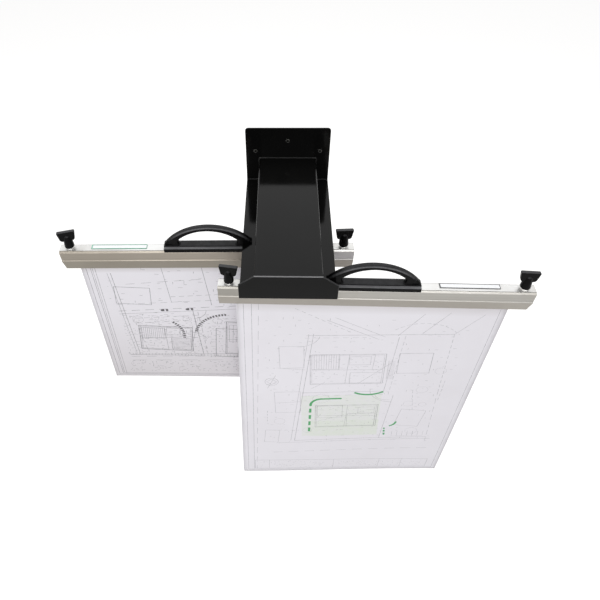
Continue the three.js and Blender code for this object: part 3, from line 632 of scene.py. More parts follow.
# The front drawing: a site plan with two buildings, drives and planting
FRONT_PENCIL = {
    "frames": [
        (297, 420, 283, 408, 0, 0.6),
        (268, 560, 92, 66, -3, 0.9),
        (268, 560, 88, 62, -3, 0.4),
        (212, 592, 34, 32, -3, 0.5),
        (318, 522, 40, 26, -3, 0.5),
        (296, 600, 26, 18, -3, 0.4),
        (430, 592, 40, 44, -3, 0.8),
        (286, 330, 84, 58, -3, 0.9),
        (286, 330, 80, 54, -3, 0.4),
        (240, 352, 34, 32, -3, 0.5),
        (328, 310, 38, 34, -3, 0.5),
        (338, 362, 22, 16, -3, 0.4),
        (128, 610, 30, 46, -3, 0.5),
        (124, 400, 34, 52, -3, 0.5),
        (462, 322, 34, 44, 6, 0.5),
        (297, 44, 262, 26, 0, 0.6),
        (176, 44, 98, 26, 0, 0.4),
        (446, 44, 34, 26, 0, 0.4),
        (80, 500, 9, 9, 45, 0.5),
        (84, 216, 20, 34, 3, 0.4),
    ],
    "grids": [
        (212, 592, 34, 32, -3, 6, 999, 0.35),
        (376, 560, 8, 40, -3, 999, 5, 0.4),
        (470, 232, 44, 14, -3, 14.7, 999, 0.5),
    ],
    "lines": [
        (32, 16, 32, 824, 0.6, 0),
        (48, 824, 40, 16, 0.4, 90),
        (160, 700, 500, 716, 0.7, 0),
        (156, 690, 300, 697, 0.4, 40),
        (500, 716, 512, 470, 0.6, 70),
        (512, 470, 528, 190, 0.6, 40),
        (176, 706, 150, 190, 0.8, 0),
        (165, 706, 139, 190, 0.5, 0),
        (150, 190, 528, 214, 0.8, 0),
        (100, 176, 540, 204, 0.6, 0),
        (90, 120, 540, 146, 0.6, 60),
        (160, 448, 372, 460, 0.7, 0),
        (158, 432, 372, 444, 0.5, 46),
        (372, 460, 376, 700, 0.6, 0),
        (386, 444, 390, 706, 0.5, 66),
        (392, 206, 400, 440, 0.6, 0),
        (268, 494, 268, 626, 0.5, 0),
        (180, 556, 356, 562, 0.5, 0),
        (330, 560, 330, 624, 0.5, 0),
        (286, 272, 286, 388, 0.5, 0),
        (206, 330, 366, 334, 0.5, 0),
        (204, 760, 330, 690, 0.6, 0),
        (222, 770, 344, 700, 0.5, 0),
        (130, 800, 262, 716, 0.5, 54),
        (420, 790, 372, 706, 0.6, 0),
        (476, 796, 424, 712, 0.6, 0),
        (500, 716, 552, 792, 0.5, 0),
        (300, 494, 372, 590, 0.5, 0),
        (206, 300, 366, 372, 0.4, 36),
        (184, 470, 214, 498, 0.5, 0),
        (70, 470, 90, 530, 0.5, 0),
        (70, 300, 70, 360, 0.6, 24),
        (520, 420, 520, 520, 0.5, 30),
        (100, 250, 160, 250, 0.5, 20),
        (462, 366, 446, 470, 0.4, 30),
        (92, 564, 164, 556, 0.4, 0),
        (90, 396, 158, 404, 0.4, 0),
    ],
    "arcs": [
        (80, 500, 17, 0, 360, 0.6, 0),
        (386, 452, 36, 200, 80, 0.5, 0),
        (400, 470, 64, 180, 90, 0.5, 0),
        (212, 420, 22, 0, 360, 0.4, 26),
        (470, 470, 15, 0, 360, 0.4, 22),
        (184, 250, 13, 0, 360, 0.4, 22),
        (478, 250, 17, 0, 360, 0.4, 26),
        (430, 660, 96, 40, 96, 0.5, 40),
        (140, 706, 52, 270, 80, 0.5, 0),
        (446, 398, 13, 0, 360, 0.4, 22),
        (484, 396, 10, 0, 360, 0.4, 18),
        (104, 300, 15, 0, 360, 0.4, 24),
        (500, 560, 14, 0, 360, 0.4, 22),
    ],
    "ticks": [
        (297, 470, 236, 300, 0, 27, 9, 0.45),
        (268, 560, 84, 58, -3, 13, 7, 0.45),
        (286, 330, 76, 50, -3, 13, 7, 0.45),
        (297, 44, 250, 21, 0, 10, 7, 0.4),
    ],
}
FRONT_STROKES = {
    "lines": [
        (189, 246, 186, 388, 6.2, 26),
        (216, 418, 264, 421, 6.2, 0),
        (404, 226, 400, 262, 5.2, 14),
    ],
    "arcs": [
        (216, 388, 30, 90, 90, 6.6, 0),
        (330, 504, 62, 238, 74, 6.4, 0),
        (400, 300, 28, 296, 64, 5.2, 0),
    ],
}
FRONT_LAWNS = [(270, 330, 106, 108, -3), (286, 262, 96, 44, -3)]

# The rear drawing: a house plan with a yard and hedges
REAR_PENCIL = {
    "frames": [
        (297, 243, 286, 232, 0, 0.8),
        (300, 238, 274, 222, 0, 0.6),
        (168, 180, 70, 52, 4, 1.6),
        (168, 180, 66, 48, 4, 0.6),
        (136, 204, 30, 22, 4, 0.8),
        (206, 156, 26, 24, 4, 0.8),
        (190, 210, 18, 14, 4, 0.6),
        (420, 176, 92, 70, 4, 1.8),
        (420, 176, 88, 66, 4, 0.6),
        (378, 200, 40, 36, 4, 0.6),
        (462, 150, 40, 36, 4, 0.6),
        (106, 356, 44, 32, 4, 1.0),
        (440, 372, 84, 40, 4, 0.8),
        (330, 160, 30, 62, 4, 1.3),
    ],
    "grids": [
        (136, 204, 30, 22, 4, 5, 999, 0.5),
        (206, 156, 26, 24, 4, 999, 6, 0.5),
        (462, 150, 40, 36, 4, 999, 6, 0.5),
        (378, 200, 40, 36, 4, 10, 999, 0.45),
        (297, 104, 240, 4, 1.2, 9, 999, 0.4),
    ],
    "lines": [
        (22, 14, 22, 472, 0.8, 0),
        (32, 14, 32, 472, 0.6, 0),
        (60, 296, 570, 330, 1.0, 90),
        (60, 284, 570, 318, 0.7, 0),
        (60, 322, 330, 340, 0.6, 60),
        (60, 106, 560, 116, 1.0, 0),
        (60, 96, 560, 106, 0.7, 70),
        (60, 78, 400, 84, 0.6, 30),
        (86, 110, 66, 440, 0.9, 0),
        (78, 110, 58, 440, 0.6, 0),
        (262, 112, 250, 300, 1.1, 0),
        (274, 112, 262, 302, 0.7, 50),
        (300, 320, 286, 460, 0.8, 0),
        (200, 330, 190, 460, 0.7, 0),
        (168, 130, 168, 230, 0.7, 0),
        (100, 180, 236, 188, 0.7, 0),
        (420, 106, 420, 246, 0.6, 0),
        (330, 176, 510, 182, 0.6, 0),
        (200, 352, 340, 362, 0.7, 40),
        (96, 246, 240, 258, 0.7, 36),
        (96, 266, 300, 282, 0.6, 50),
        (96, 400, 290, 418, 0.6, 30),
        (110, 130, 96, 246, 0.7, 20),
        (310, 262, 400, 268, 0.6, 30),
        (230, 132, 252, 226, 0.6, 0),
    ],
    "arcs": [
        (250, 300, 34, 270, 90, 0.7, 0),
        (232, 262, 11, 0, 360, 0.6, 20),
        (356, 92, 12, 0, 360, 0.5, 20),
        (104, 262, 14, 0, 360, 0.6, 24),
        (150, 268, 9, 0, 360, 0.6, 18),
        (226, 150, 60, 30, 50, 0.7, 0),
        (310, 256, 12, 0, 360, 0.6, 22),
    ],
    "ticks": [
        (190, 190, 130, 88, 4, 11, 8, 0.6),
        (190, 196, 130, 94, 4, 17, 14, 0.6),
        (190, 390, 140, 66, 4, 24, 12, 0.6),
        (440, 210, 120, 130, 4, 14, 9, 0.6),
        (297, 52, 250, 26, 0, 9, 8, 0.7),
    ],
}
REAR_STROKES = {
    "lines": [
        (236, 303, 252, 304, 7.4, 10),
        (172, 299, 188, 300, 7.4, 10),
    ],
    "arcs": [
        (334, 196, 84, 90, 82, 7.6, 66),
        (146, 196, 72, 350, 62, 7, 58),
    ],
}


# Mesh helpers: every piece is drawn in millimetres and placed when it is finished

RACK_PLACE = Matrix.Translation((0, 0, FLANGE_TOP / 1000)) @ Matrix.Scale(0.001, 4)
HERE = Matrix.Identity(4)
UPRIGHT = Matrix.Rotation(math.pi / 2, 4, "X")
ROUNDED_FROM = math.radians(35)
SHARP_FROM = math.radians(32)


def binder_place(binder):
    facts = BINDERS[binder]
    spot = Matrix.Translation(Vector(facts["place"]) / 1000)
    turn = Matrix.Rotation(math.radians(facts["turn"]), 4, "Z")
    droop = Matrix.Rotation(math.radians(facts["droop"]), 4, "Y")
    return spot @ turn @ droop @ Matrix.Scale(0.001, 4)


def outline(bm, points):
    return bm.faces.new([bm.verts.new(point) for point in points])


def section(bm, points, x):
    return outline(bm, [(x, y, z) for y, z in points])


def mirrored(points):
    return [(-y, z) for y, z in reversed(points)]


def of_kind(parts, kind):
    return [part for part in parts if isinstance(part, kind)]


def pulled(bm, faces, move):
    made = bmesh.ops.extrude_face_region(bm, geom=faces)["geom"]
    bmesh.ops.translate(bm, verts=of_kind(made, bmesh.types.BMVert), vec=move)
    return of_kind(made, bmesh.types.BMFace)


def pulled_edges(bm, edges, matrix):
    made = bmesh.ops.extrude_edge_only(bm, edges=edges)["geom"]
    bmesh.ops.transform(bm, matrix=matrix, verts=of_kind(made, bmesh.types.BMVert))
    return of_kind(made, bmesh.types.BMEdge)


def drawn_out(bm, points, half):
    end = section(bm, points, -half)
    pulled(bm, [end], (2 * half, 0, 0))


def filled(bm, chain):
    for pair in zip(chain, chain[1:]):
        bm.edges.new(pair)
    loose = [edge for edge in bm.edges if not edge.link_faces]
    return bmesh.ops.edgeloop_fill(bm, edges=loose)["faces"]


def ring_edges(bm, count, radius, spot):
    corners = bmesh.ops.create_circle(bm, segments=count, radius=radius, matrix=spot)["verts"]
    return list({edge for corner in corners for edge in corner.link_edges})


def lathed(bm, profile, x, steps, closed):
    line = [bm.verts.new((x + r, 0, z)) for r, z in profile]
    ends = line + line[:1] if closed else line
    edges = [bm.edges.new(pair) for pair in zip(ends, ends[1:])]
    bmesh.ops.spin(bm, geom=line + edges, cent=(x, 0, 0), axis=(0, 0, 1), angle=2 * math.pi, steps=steps,
                   use_merge=True)


def edges_at(bm, axis, spots):
    others = [k for k in range(3) if k != axis]
    found = []
    for edge in bm.edges:
        a, b = (corner.co for corner in edge.verts)
        if abs(a[axis] - b[axis]) < 0.01:
            continue
        for spot in spots:
            if all(abs(end[k] - spot[n]) < 0.02 for end in (a, b) for n, k in enumerate(others)):
                found.append(edge)
                break
    return found


def rounded(bm, edges, reach, steps):
    bmesh.ops.bevel(bm, geom=edges, offset=reach, offset_type="OFFSET", segments=steps, profile=0.5,
                    affect="EDGES", clamp_overlap=True, material=-1)


def rounded_corners(bm, corners, reach, steps):
    bmesh.ops.bevel(bm, geom=corners, offset=reach, offset_type="OFFSET", segments=steps, profile=0.5,
                    affect="VERTICES", clamp_overlap=True, material=-1)


def rounded_lengths(bm, side, rounds):
    for reach, steps, spots in rounds:
        rounded(bm, edges_at(bm, 0, [(side * y, z) for y, z in spots]), reach, steps)


def softened(bm, reach, steps=2):
    sharp = [edge for edge in bm.edges if edge.is_manifold and edge.calc_face_angle() > ROUNDED_FROM]
    rounded(bm, sharp, reach, steps)


def eased_faces(bm, faces, steps, move):
    for width, share in steps:
        bmesh.ops.inset_region(bm, faces=faces, thickness=width, use_even_offset=True)
        corners = {corner for face in faces for corner in face.verts}
        bmesh.ops.translate(bm, verts=list(corners), vec=move * share)


def quarter_round(radius, count):
    turns = [math.pi / 2 * step / count for step in range(count + 1)]
    return [(radius * (math.cos(a) - math.cos(b)), radius * (math.sin(b) - math.sin(a)))
            for a, b in zip(turns, turns[1:])]


def closed_up(bm):
    bmesh.ops.remove_doubles(bm, verts=bm.verts, dist=0.002)
    bmesh.ops.recalc_face_normals(bm, faces=bm.faces)


def new_object(name, bm, place):
    closed_up(bm)
    bm.transform(place)
    mesh = bpy.data.meshes.new(name)
    bm.to_mesh(mesh)
    bm.free()
    made = bpy.data.objects.new(name, mesh)
    scene.collection.objects.link(made)
    return made


def placed_copy(shape, name, place):
    mesh = shape.data.copy()
    mesh.name = name
    mesh.transform(place)
    made = bpy.data.objects.new(name, mesh)
    scene.collection.objects.link(made)
    return made


def smooth(made):
    made.data.shade_smooth()
    made.data.set_sharp_from_angle(angle=SHARP_FROM)
    weighting = made.modifiers.new("even_shading", "WEIGHTED_NORMAL")
    weighting.keep_sharp = True


def dressed(made, finish, body, stands_for=None):
    made.data.materials.clear()
    made.data.materials.append(finish)
    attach(made, body)
    if stands_for:
        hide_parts(stands_for)
    return made


def baked(made):
    graph = bpy.context.evaluated_depsgraph_get()
    mesh = bpy.data.meshes.new_from_object(made.evaluated_get(graph))
    made.modifiers.clear()
    made.data = mesh


def combined(made, tool, operation):
    step = made.modifiers.new("shape", "BOOLEAN")
    step.object = tool
    step.operation = operation
    step.solver = "EXACT"
    baked(made)
    bpy.data.objects.remove(tool)
    bm = bmesh.new()
    bm.from_mesh(made.data)
    bmesh.ops.remove_doubles(bm, verts=bm.verts, dist=0.005)
    bmesh.ops.dissolve_degenerate(bm, edges=bm.edges, dist=0.005)
    bm.to_mesh(made.data)
    bm.free()


# Rack

def wall_plate(finish):
    bm = bmesh.new()
    back = outline(bm, [(-RACK_HALF, 0, -FOLD_STEEL), (RACK_HALF, 0, -FOLD_STEEL),
                        (RACK_HALF, 0, PLATE_RISE), (-RACK_HALF, 0, PLATE_RISE)])
    high = [corner for corner in back.verts if corner.co.z > 100]
    rounded_corners(bm, high, 8, 8)
    front = pulled(bm, bm.faces[:], (0, -2.2, 0))[0]
    eased_faces(bm, [front], [(0.15, 0.4), (0.25, 0.25), (0.4, 0.15)], Vector((0, -1, 0)))
    caps = [face for face in bm.faces if abs(face.normal.y) > 0.99 and len(face.verts) > 8]
    bmesh.ops.delete(bm, geom=caps, context="FACES_ONLY")
    for x, z in FIXING_SPOTS:
        centre = Matrix.Translation((x, PLATE_FRONT, z))
        rim = ring_edges(bm, 32, 5.25, centre @ UPRIGHT)
        shrink = Matrix.Diagonal((0.52, 1, 0.52, 1))
        sunk = pulled_edges(bm, rim, Matrix.Translation((0, 1.9, 0)) @ centre @ shrink @ centre.inverted())
        pulled_edges(bm, sunk, Matrix.Translation((0, 1.1, 0)))
    for level in (PLATE_FRONT, 0):
        open_edges = [edge for edge in bm.edges if edge.is_boundary or edge.is_wire]
        flat = [edge for edge in open_edges if all(abs(corner.co.y - level) < 0.01 for corner in edge.verts)]
        bmesh.ops.triangle_fill(bm, edges=flat, use_beauty=True)
    made = new_object("wall_plate_sheet", bm, RACK_PLACE)
    smooth(made)
    return dressed(made, finish, "rack", "wall_plate")


def wall_screw(name, x, z, finish):
    bm = bmesh.new()
    turn = Matrix.Translation((x, PLATE_FRONT + 0.1, z)) @ UPRIGHT
    socket_edges = ring_edges(bm, 6, 2.8, turn)
    head_edges = ring_edges(bm, 30, 4.55, turn)
    bmesh.ops.bridge_loops(bm, edges=socket_edges + head_edges)
    centre = Matrix.Translation((x, 0, z))

    def widened(edges, scale, move):
        grow = centre @ Matrix.Diagonal((scale, 1, scale, 1)) @ centre.inverted()
        return pulled_edges(bm, edges, Matrix.Translation((0, move, 0)) @ grow)

    edge = head_edges
    for scale, move in ((1.055, 0.12), (1.02, 0.2), (0.53, 1.9), (0.98, 0.5)):
        edge = widened(edge, scale, move)
    bmesh.ops.edgeloop_fill(bm, edges=edge)
    floor = widened(socket_edges, 0.97, 2.1)
    bmesh.ops.edgeloop_fill(bm, edges=floor)
    made = new_object(name, bm, RACK_PLACE)
    # Face layer for the finish: 1 on the flat front ring, 0 on the socket and sides, which the finish paints
    # near black as shade
    layer = made.data.attributes.new("painted_light", "FLOAT", "FACE")
    front = min(face.center.y for face in made.data.polygons)
    for face in made.data.polygons:
        layer.data[face.index].value = 1 if face.center.y < front + 0.0003 else 0
    smooth(made)
    return dressed(made, finish, "rack")


def arm(finish):
    bm = bmesh.new()
    inner = ARM_HALF - FOLD_STEEL
    under = -FOLD_STEEL
    ceiling = ARM_HEIGHT - FOLD_STEEL
    points = [(-RACK_HALF, 0), (-ARM_HALF, 0), (-ARM_HALF, ARM_HEIGHT), (ARM_HALF, ARM_HEIGHT),
              (ARM_HALF, 0), (RACK_HALF, 0), (RACK_HALF, under), (inner, under),
              (inner, ceiling), (-inner, ceiling), (-inner, under), (-RACK_HALF, under)]
    end = outline(bm, [(x, ARM_BACK, z) for x, z in points])
    pulled(bm, [end], (0, ARM_FRONT - ARM_BACK, 0))
    wide = [(-ARM_HALF, ARM_HEIGHT), (ARM_HALF, ARM_HEIGHT), (-inner, under), (inner, under)]
    tight = [(-inner, ceiling), (inner, ceiling), (-ARM_HALF, 0), (ARM_HALF, 0)]
    rounded(bm, edges_at(bm, 1, wide), 4.5, 8)
    rounded(bm, edges_at(bm, 1, tight), 2.5, 6)
    softened(bm, 0.35)
    bm.normal_update()
    # Painted highlight: a face layer lightens the rounded top bends
    layer = bm.faces.layers.float.new("painted_light")
    for face in bm.faces:
        if face.calc_center_median().z > 60 and 0.3 < face.normal.z < 0.97 and abs(face.normal.y) < 0.1:
            face[layer] = 0.2
    made = new_object("arm_fold", bm, RACK_PLACE)
    smooth(made)
    return dressed(made, finish, "rack", "arm")


def weld_bead(finish):
    bm = bmesh.new()
    runs = [((0, ARM_HEIGHT), 0, ARM_HALF), ((-ARM_HALF, 34), 90, 32), ((ARM_HALF, 34), -90, 32),
            ((-86, 0), 0, 15.5), ((86, 0), 0, 15.5)]
    for (x, z), turn, half in runs:
        foot = [bm.verts.new((-half, *low)) for low in ((0.3, -0.3), (-WELD_LEG, -0.3), (-WELD_LEG, 0))]
        arc = bmesh.ops.spin(bm, geom=[foot[2]], cent=(-half, -WELD_LEG, WELD_LEG), axis=(1, 0, 0),
                             angle=math.pi / 2, steps=6)
        last = of_kind(arc["geom_last"], bmesh.types.BMVert)[0]
        peak = bm.verts.new((-half, 0.3, WELD_LEG))
        pulled(bm, filled(bm, [last, peak, *foot]), (2 * half, 0, 0))
        made = [corner for corner in bm.verts if not corner.tag]
        spot = Matrix.Translation((x, PLATE_FRONT, z)) @ Matrix.Rotation(math.radians(-turn), 4, "Y")
        bmesh.ops.transform(bm, matrix=spot, verts=made)
        for corner in made:
            corner.tag = True
    made = new_object("arm_weld", bm, RACK_PLACE)
    smooth(made)
    return dressed(made, finish, "rack")


def front_plate(finish):
    bm = bmesh.new()
    points = [(-RACK_HALF, -FOLD_STEEL), (RACK_HALF, -FOLD_STEEL), (RACK_HALF, SHOULDER_RISE),
              (ARM_HALF, ARM_HEIGHT), (-ARM_HALF, ARM_HEIGHT), (-RACK_HALF, SHOULDER_RISE)]
    back = outline(bm, [(x, SHOULDER_BACK, z) for x, z in points])
    corners = [corner for corner in back.verts if corner.co.z < 50]
    rounded_corners(bm, corners, 1.2, 3)
    front = pulled(bm, bm.faces[:], (0, -0.3, 0))[0]
    eased_faces(bm, [front], [(0.23, 0.85), (0.62, 0.62), (0.85, 0.23)], Vector((0, -1, 0)))
    bm.normal_update()
    # Painted highlight: a face layer lightens the front top rounding, and a little the shoulders' edges
    layer = bm.faces.layers.float.new("painted_light")
    for face in bm.faces:
        if face.normal.y < -0.1 and face.normal.z > 0.15 and abs(face.normal.x) < 0.1:
            face[layer] = 0.95
        elif face.normal.y < -0.1 and face.normal.z > 0.15:
            face[layer] = 0.16
    made = new_object("front_plate_sheet", bm, RACK_PLACE)
    smooth(made)
    return dressed(made, finish, "rack", "front_plate")


# Clamp

SPINE_HALF = [(9.9, 0), (9.9, -2.4), (6, -2.4), (6, -6.6), (8.93, -6.6), (9.53, -5.89), (10.68, -6.85),
              (9.63, -8.1), (4.5, -8.1), (4.5, -2.4)]
JAW_HALF = [(10.6, -0.41), (14.2, -4.1), (12.6, -29.1), (14.2, -30.7), (2.2, -68), (0.8, -68), (0.8, -60),
            (2.67, -60), (11.92, -31.25), (10.55, -29.88), (11.47, -15.5), (6.65, -15.5), (4.7, -22),
            (3.5, -22), (3.5, -13.5), (11.59, -13.5), (12.12, -5.35), (9.6, -5.35), (9.6, -6.2), (6.4, -6.2),
            (6.4, -3), (9.6, -3), (9.6, -3.85), (11.16, -3.85), (10.6, -3.27)]
SPINE_ROUNDS = [(3.4, 6, [(4.5, -8.1)]), (1.9, 5, [(6, -6.6)]), (0.7, 3, [(9.63, -8.1), (8.93, -6.6)])]
JAW_ROUNDS = [(1.5, 5, [(6.4, -3), (6.4, -6.2)]), (0.75, 3, [(9.6, -3), (9.6, -6.2)]),
              (0.9, 4, [(14.2, -4.1), (14.2, -30.7)]), (0.6, 3, [(12.6, -29.1), (2.2, -68)]),
              (0.35, 2, [(10.6, -0.41)])]


# Marks the faces in the groove between spine and jaws, which the finish paints dark as shade
def mark_groove_shade(bm, reach):
    bm.normal_update()
    layer = bm.faces.layers.float.new("groove_shade")
    for face in bm.faces:
        spot = face.calc_center_median()
        if abs(abs(spot.y) - reach) < 0.05 and abs(face.normal.y) > 0.9 and spot.z > -3.3:
            face[layer] = 0.8


def clamp_spine(binder, finish):
    bm = bmesh.new()
    drawn_out(bm, SPINE_HALF + mirrored(SPINE_HALF), CLAMP_HALF)
    for side in (1, -1):
        rounded_lengths(bm, side, SPINE_ROUNDS)
    rounded(bm, edges_at(bm, 0, [(9.9, 0), (-9.9, 0)]), 0.45, 3)
    softened(bm, 0.12, 1)
    mark_groove_shade(bm, 9.9)
    made = new_object(f"{binder}_clamp_top", bm, binder_place(binder))
    smooth(made)
    return dressed(made, finish, f"{binder}_binder", f"{binder}_clamp_spine")


def clamp_jaw(binder, number, finish):
    side = -1 if number == 1 else 1
    points = JAW_HALF if side > 0 else mirrored(JAW_HALF)
    bm = bmesh.new()
    drawn_out(bm, points, CLAMP_HALF)
    rounded_lengths(bm, side, JAW_ROUNDS)
    softened(bm, 0.12, 1)
    mark_groove_shade(bm, 10.6)
    made = new_object(f"{binder}_jaw_wall_{number}", bm, binder_place(binder))
    smooth(made)
    body = f"{binder}_first_jaw" if number == 1 else f"{binder}_second_jaw"
    return dressed(made, finish, body, f"{binder}_jaw_{number}")


# Knobs

def knob_shape():
    bm = bmesh.new()
    profile = [(0, 6.2), (9.6, 6.2), (10.6, 6.7), (11, 7.8), (10.8, 13), (10.2, 19), (9.6, 24.8),
               (8.6, 31), (7.1, 38), (4.8, 41), (0, 41.5)]
    lathed(bm, profile, 0, 40, False)
    hub = new_object("knob_hub", bm, HERE)
    bm = bmesh.new()
    corners = [(-16, WING_FOOT), (16, WING_FOOT), (20.5, WING_TOP), (-20.5, WING_TOP)]
    face = outline(bm, [(x, WING_THICKNESS / 2, z) for x, z in corners])
    low = [corner for corner in face.verts if corner.co.z < WING_FOOT + 1]
    rounded_corners(bm, low, 6.5, 8)
    high = [corner for corner in bm.verts if corner.co.z > WING_TOP - 0.3]
    rounded_corners(bm, high, 3, 5)
    pulled(bm, bm.faces[:], (0, -WING_THICKNESS, 0))
    rounded(bm, [edge for edge in bm.edges if edge.calc_face_angle() > 1], 1.5, 4)
    wing = new_object("knob_wing", bm, HERE)
    combined(hub, wing, "UNION")
    skin = hub.modifiers.new("skin", "REMESH")
    skin.mode = "VOXEL"
    skin.voxel_size = 0.55
    relax = hub.modifiers.new("relax", "SMOOTH")
    relax.factor = 0.5
    relax.iterations = 5
    baked(hub)
    # Painted highlight: a face layer lightens the wing tops and a band on the hub's dome
    layer = hub.data.attributes.new("painted_light", "FLOAT", "FACE")
    for face in hub.data.polygons:
        if face.center.z > 50 and face.normal.z > 0.6:
            layer.data[face.index].value = 0.24
        elif 35 < face.center.z < 43 and face.normal.z > 0.45:
            layer.data[face.index].value = 0.1
    return hub


def wing_knob(binder, end, shape, finish):
    turn = Matrix.Rotation(math.radians(BINDERS[binder]["knobs"][end]), 4, "Z")
    spot = Matrix.Translation((ENDS[end] * KNOB_X, 0, 0)) @ turn
    made = placed_copy(shape, f"{binder}_{end}_wing_knob", binder_place(binder) @ spot)
    made.data.shade_smooth()
    return dressed(made, finish, f"{binder}_{end}_wing", f"{binder}_{end}_knob")


def knob_bush(binder, end, finish):
    bm = bmesh.new()
    profile = [(3.35, 0.3), (7.9, 0.3), (8.3, 0.6), (8.3, 3.1), (7.7, 3.6), (5.2, 3.7), (4.8, 4.0),
               (4.8, 5.9), (3.35, 5.9)]
    lathed(bm, profile, ENDS[end] * KNOB_X, 32, True)
    made = new_object(f"{binder}_{end}_turned_bush", bm, binder_place(binder))
    smooth(made)
    return dressed(made, finish, f"{binder}_binder", f"{binder}_{end}_bush")


# Handle

def bowed_face(bm, middle, half, low, spring, top):
    near = HANDLE_DEPTH / 2 - GRIP_ROUNDING
    rise = top - spring
    bow = (half * half + rise * rise) / (2 * rise)
    start = bm.verts.new((middle + half, near, spring))
    swing = 2 * math.asin(half / bow)
    made = bmesh.ops.spin(bm, geom=[start], cent=(middle, near, top - bow), axis=(0, 1, 0),
                          angle=-swing, steps=28)
    last = of_kind(made["geom_last"], bmesh.types.BMVert)[0]
    feet = [bm.verts.new((middle - half, near, low)), bm.verts.new((middle + half, near, low))]
    return filled(bm, [last, *feet, start])[0]


def trimmed(grip, name, reach, middle, height):
    bm = bmesh.new()
    low, high = reach
    spot = Matrix.Translation(((low + high) / 2, 0, middle)) @ Matrix.Diagonal((high - low, 34, height, 1))
    bmesh.ops.create_cube(bm, size=1, matrix=spot)
    combined(grip, new_object(name, bm, HERE), "DIFFERENCE")


def handle_shape():
    bm = bmesh.new()
    outer = bowed_face(bm, 0, HANDLE_HALF, 0.6, HANDLE_SPRING, HANDLE_TOP)
    noses = [corner for corner in outer.verts if abs(corner.co.z - HANDLE_SPRING) < 0.01]
    rounded_corners(bm, noses, 3, 4)
    inner = bowed_face(bm, OPENING_X, OPENING_HALF, OPENING_FLOOR, OPENING_SPRING, OPENING_TOP)
    throat = [corner for corner in inner.verts if corner.co.z < OPENING_FLOOR + 0.1]
    rounded_corners(bm, throat, 9, 6)
    bmesh.ops.delete(bm, geom=bm.faces[:], context="FACES_ONLY")
    bmesh.ops.bridge_loops(bm, edges=bm.edges[:])
    back = bm.faces[:]
    front = pulled(bm, back, (0, 2 * GRIP_ROUNDING - HANDLE_DEPTH, 0))
    for faces, way in ((back, 1), (front, -1)):
        eased_faces(bm, faces, quarter_round(GRIP_ROUNDING, 7), Vector((0, way, 0)))
    grip = new_object("handle_grip", bm, HERE)
    bm = bmesh.new()
    half_base = [(11.5, 0.3), (12.4, -2), (14.4, -3.1), (14.4, 7.8), (8.8, 9.6), (8.8, 12.3)]
    drawn_out(bm, half_base + mirrored(half_base), HANDLE_HALF)
    rounded(bm, edges_at(bm, 0, [(14.4, 7.8), (-14.4, 7.8)]), 0.9, 4)
    rounded(bm, edges_at(bm, 0, [(8.8, 9.6), (-8.8, 9.6), (8.8, 12.3), (-8.8, 12.3)]), 0.5, 3)
    softened(bm, 0.6, 3)
    foot = new_object("handle_base", bm, HERE)
    combined(grip, foot, "UNION")
    bm = bmesh.new()
    whole = bowed_face(bm, 0, HANDLE_HALF + 0.2, -4, HANDLE_SPRING + 0.2, HANDLE_TOP + 0.5)
    bmesh.ops.translate(bm, verts=bm.verts, vec=(0, 20, 0))
    pulled(bm, [whole], (0, -40, 0))
    combined(grip, new_object("handle_outline", bm, HERE), "INTERSECT")
    trimmed(grip, "nose_cut", (-HANDLE_HALF - 2, NOSE_END + 0.9), 28, 24)
    bm = bmesh.new()
    spot = Matrix.Translation((NOSE_END + NOSE_SIZE[0] / 2, 0, NOSE_MIDDLE))
    bmesh.ops.create_cube(bm, size=1, matrix=spot @ Matrix.Diagonal((*NOSE_SIZE, 1)))
    softened(bm, 2, 4)
    combined(grip, new_object("handle_nose", bm, HERE), "UNION")
    for reach in SLOT_REACHES:
        trimmed(grip, "flange_slot", reach, SLOT_MIDDLE, SLOT_HEIGHT)
    # Painted highlight: a face layer lightens the ledge bevel and a band along the grip's front and back
    layer = grip.data.attributes.new("painted_light", "FLOAT", "FACE")
    for face in grip.data.polygons:
        slope = face.normal.z
        if 6.5 < face.center.z < 9.9 and abs(face.center.y) > 8.9 and 0.55 < slope < 0.97:
            layer.data[face.index].value = 0.95
        elif face.center.z > 24 and abs(face.normal.y) > 0.3:
            fading = min(1, (face.center.z - 24) / 22)
            layer.data[face.index].value = fading * max(0, 0.75 - 1.9 * abs(slope - 0.5))
    # Painted shade: a point layer that takes the painted top light away towards the grip's ends
    layer = grip.data.attributes.new("painted_end_shade", "FLOAT", "POINT")
    for corner in grip.data.vertices:
        if corner.co.z > 12.6:
            layer.data[corner.index].value = min(0.85, max(0, (abs(corner.co.x) - 68) / 18))
    return grip


def handle(binder, shape, finish):
    place = binder_place(binder) @ Matrix.Translation((HANDLE_X, 0, 0))
    made = placed_copy(shape, f"{binder}_grip", place)
    smooth(made)
    return dressed(made, finish, f"{binder}_binder", f"{binder}_handle")


# Label strip

def oblong(bm, middle, across, half_x, half_y):
    corners = ((-half_x, -half_y), (half_x, -half_y), (half_x, half_y), (-half_x, half_y))
    return outline(bm, [(middle + x, across + y, LABEL_SEAT) for x, y in corners])


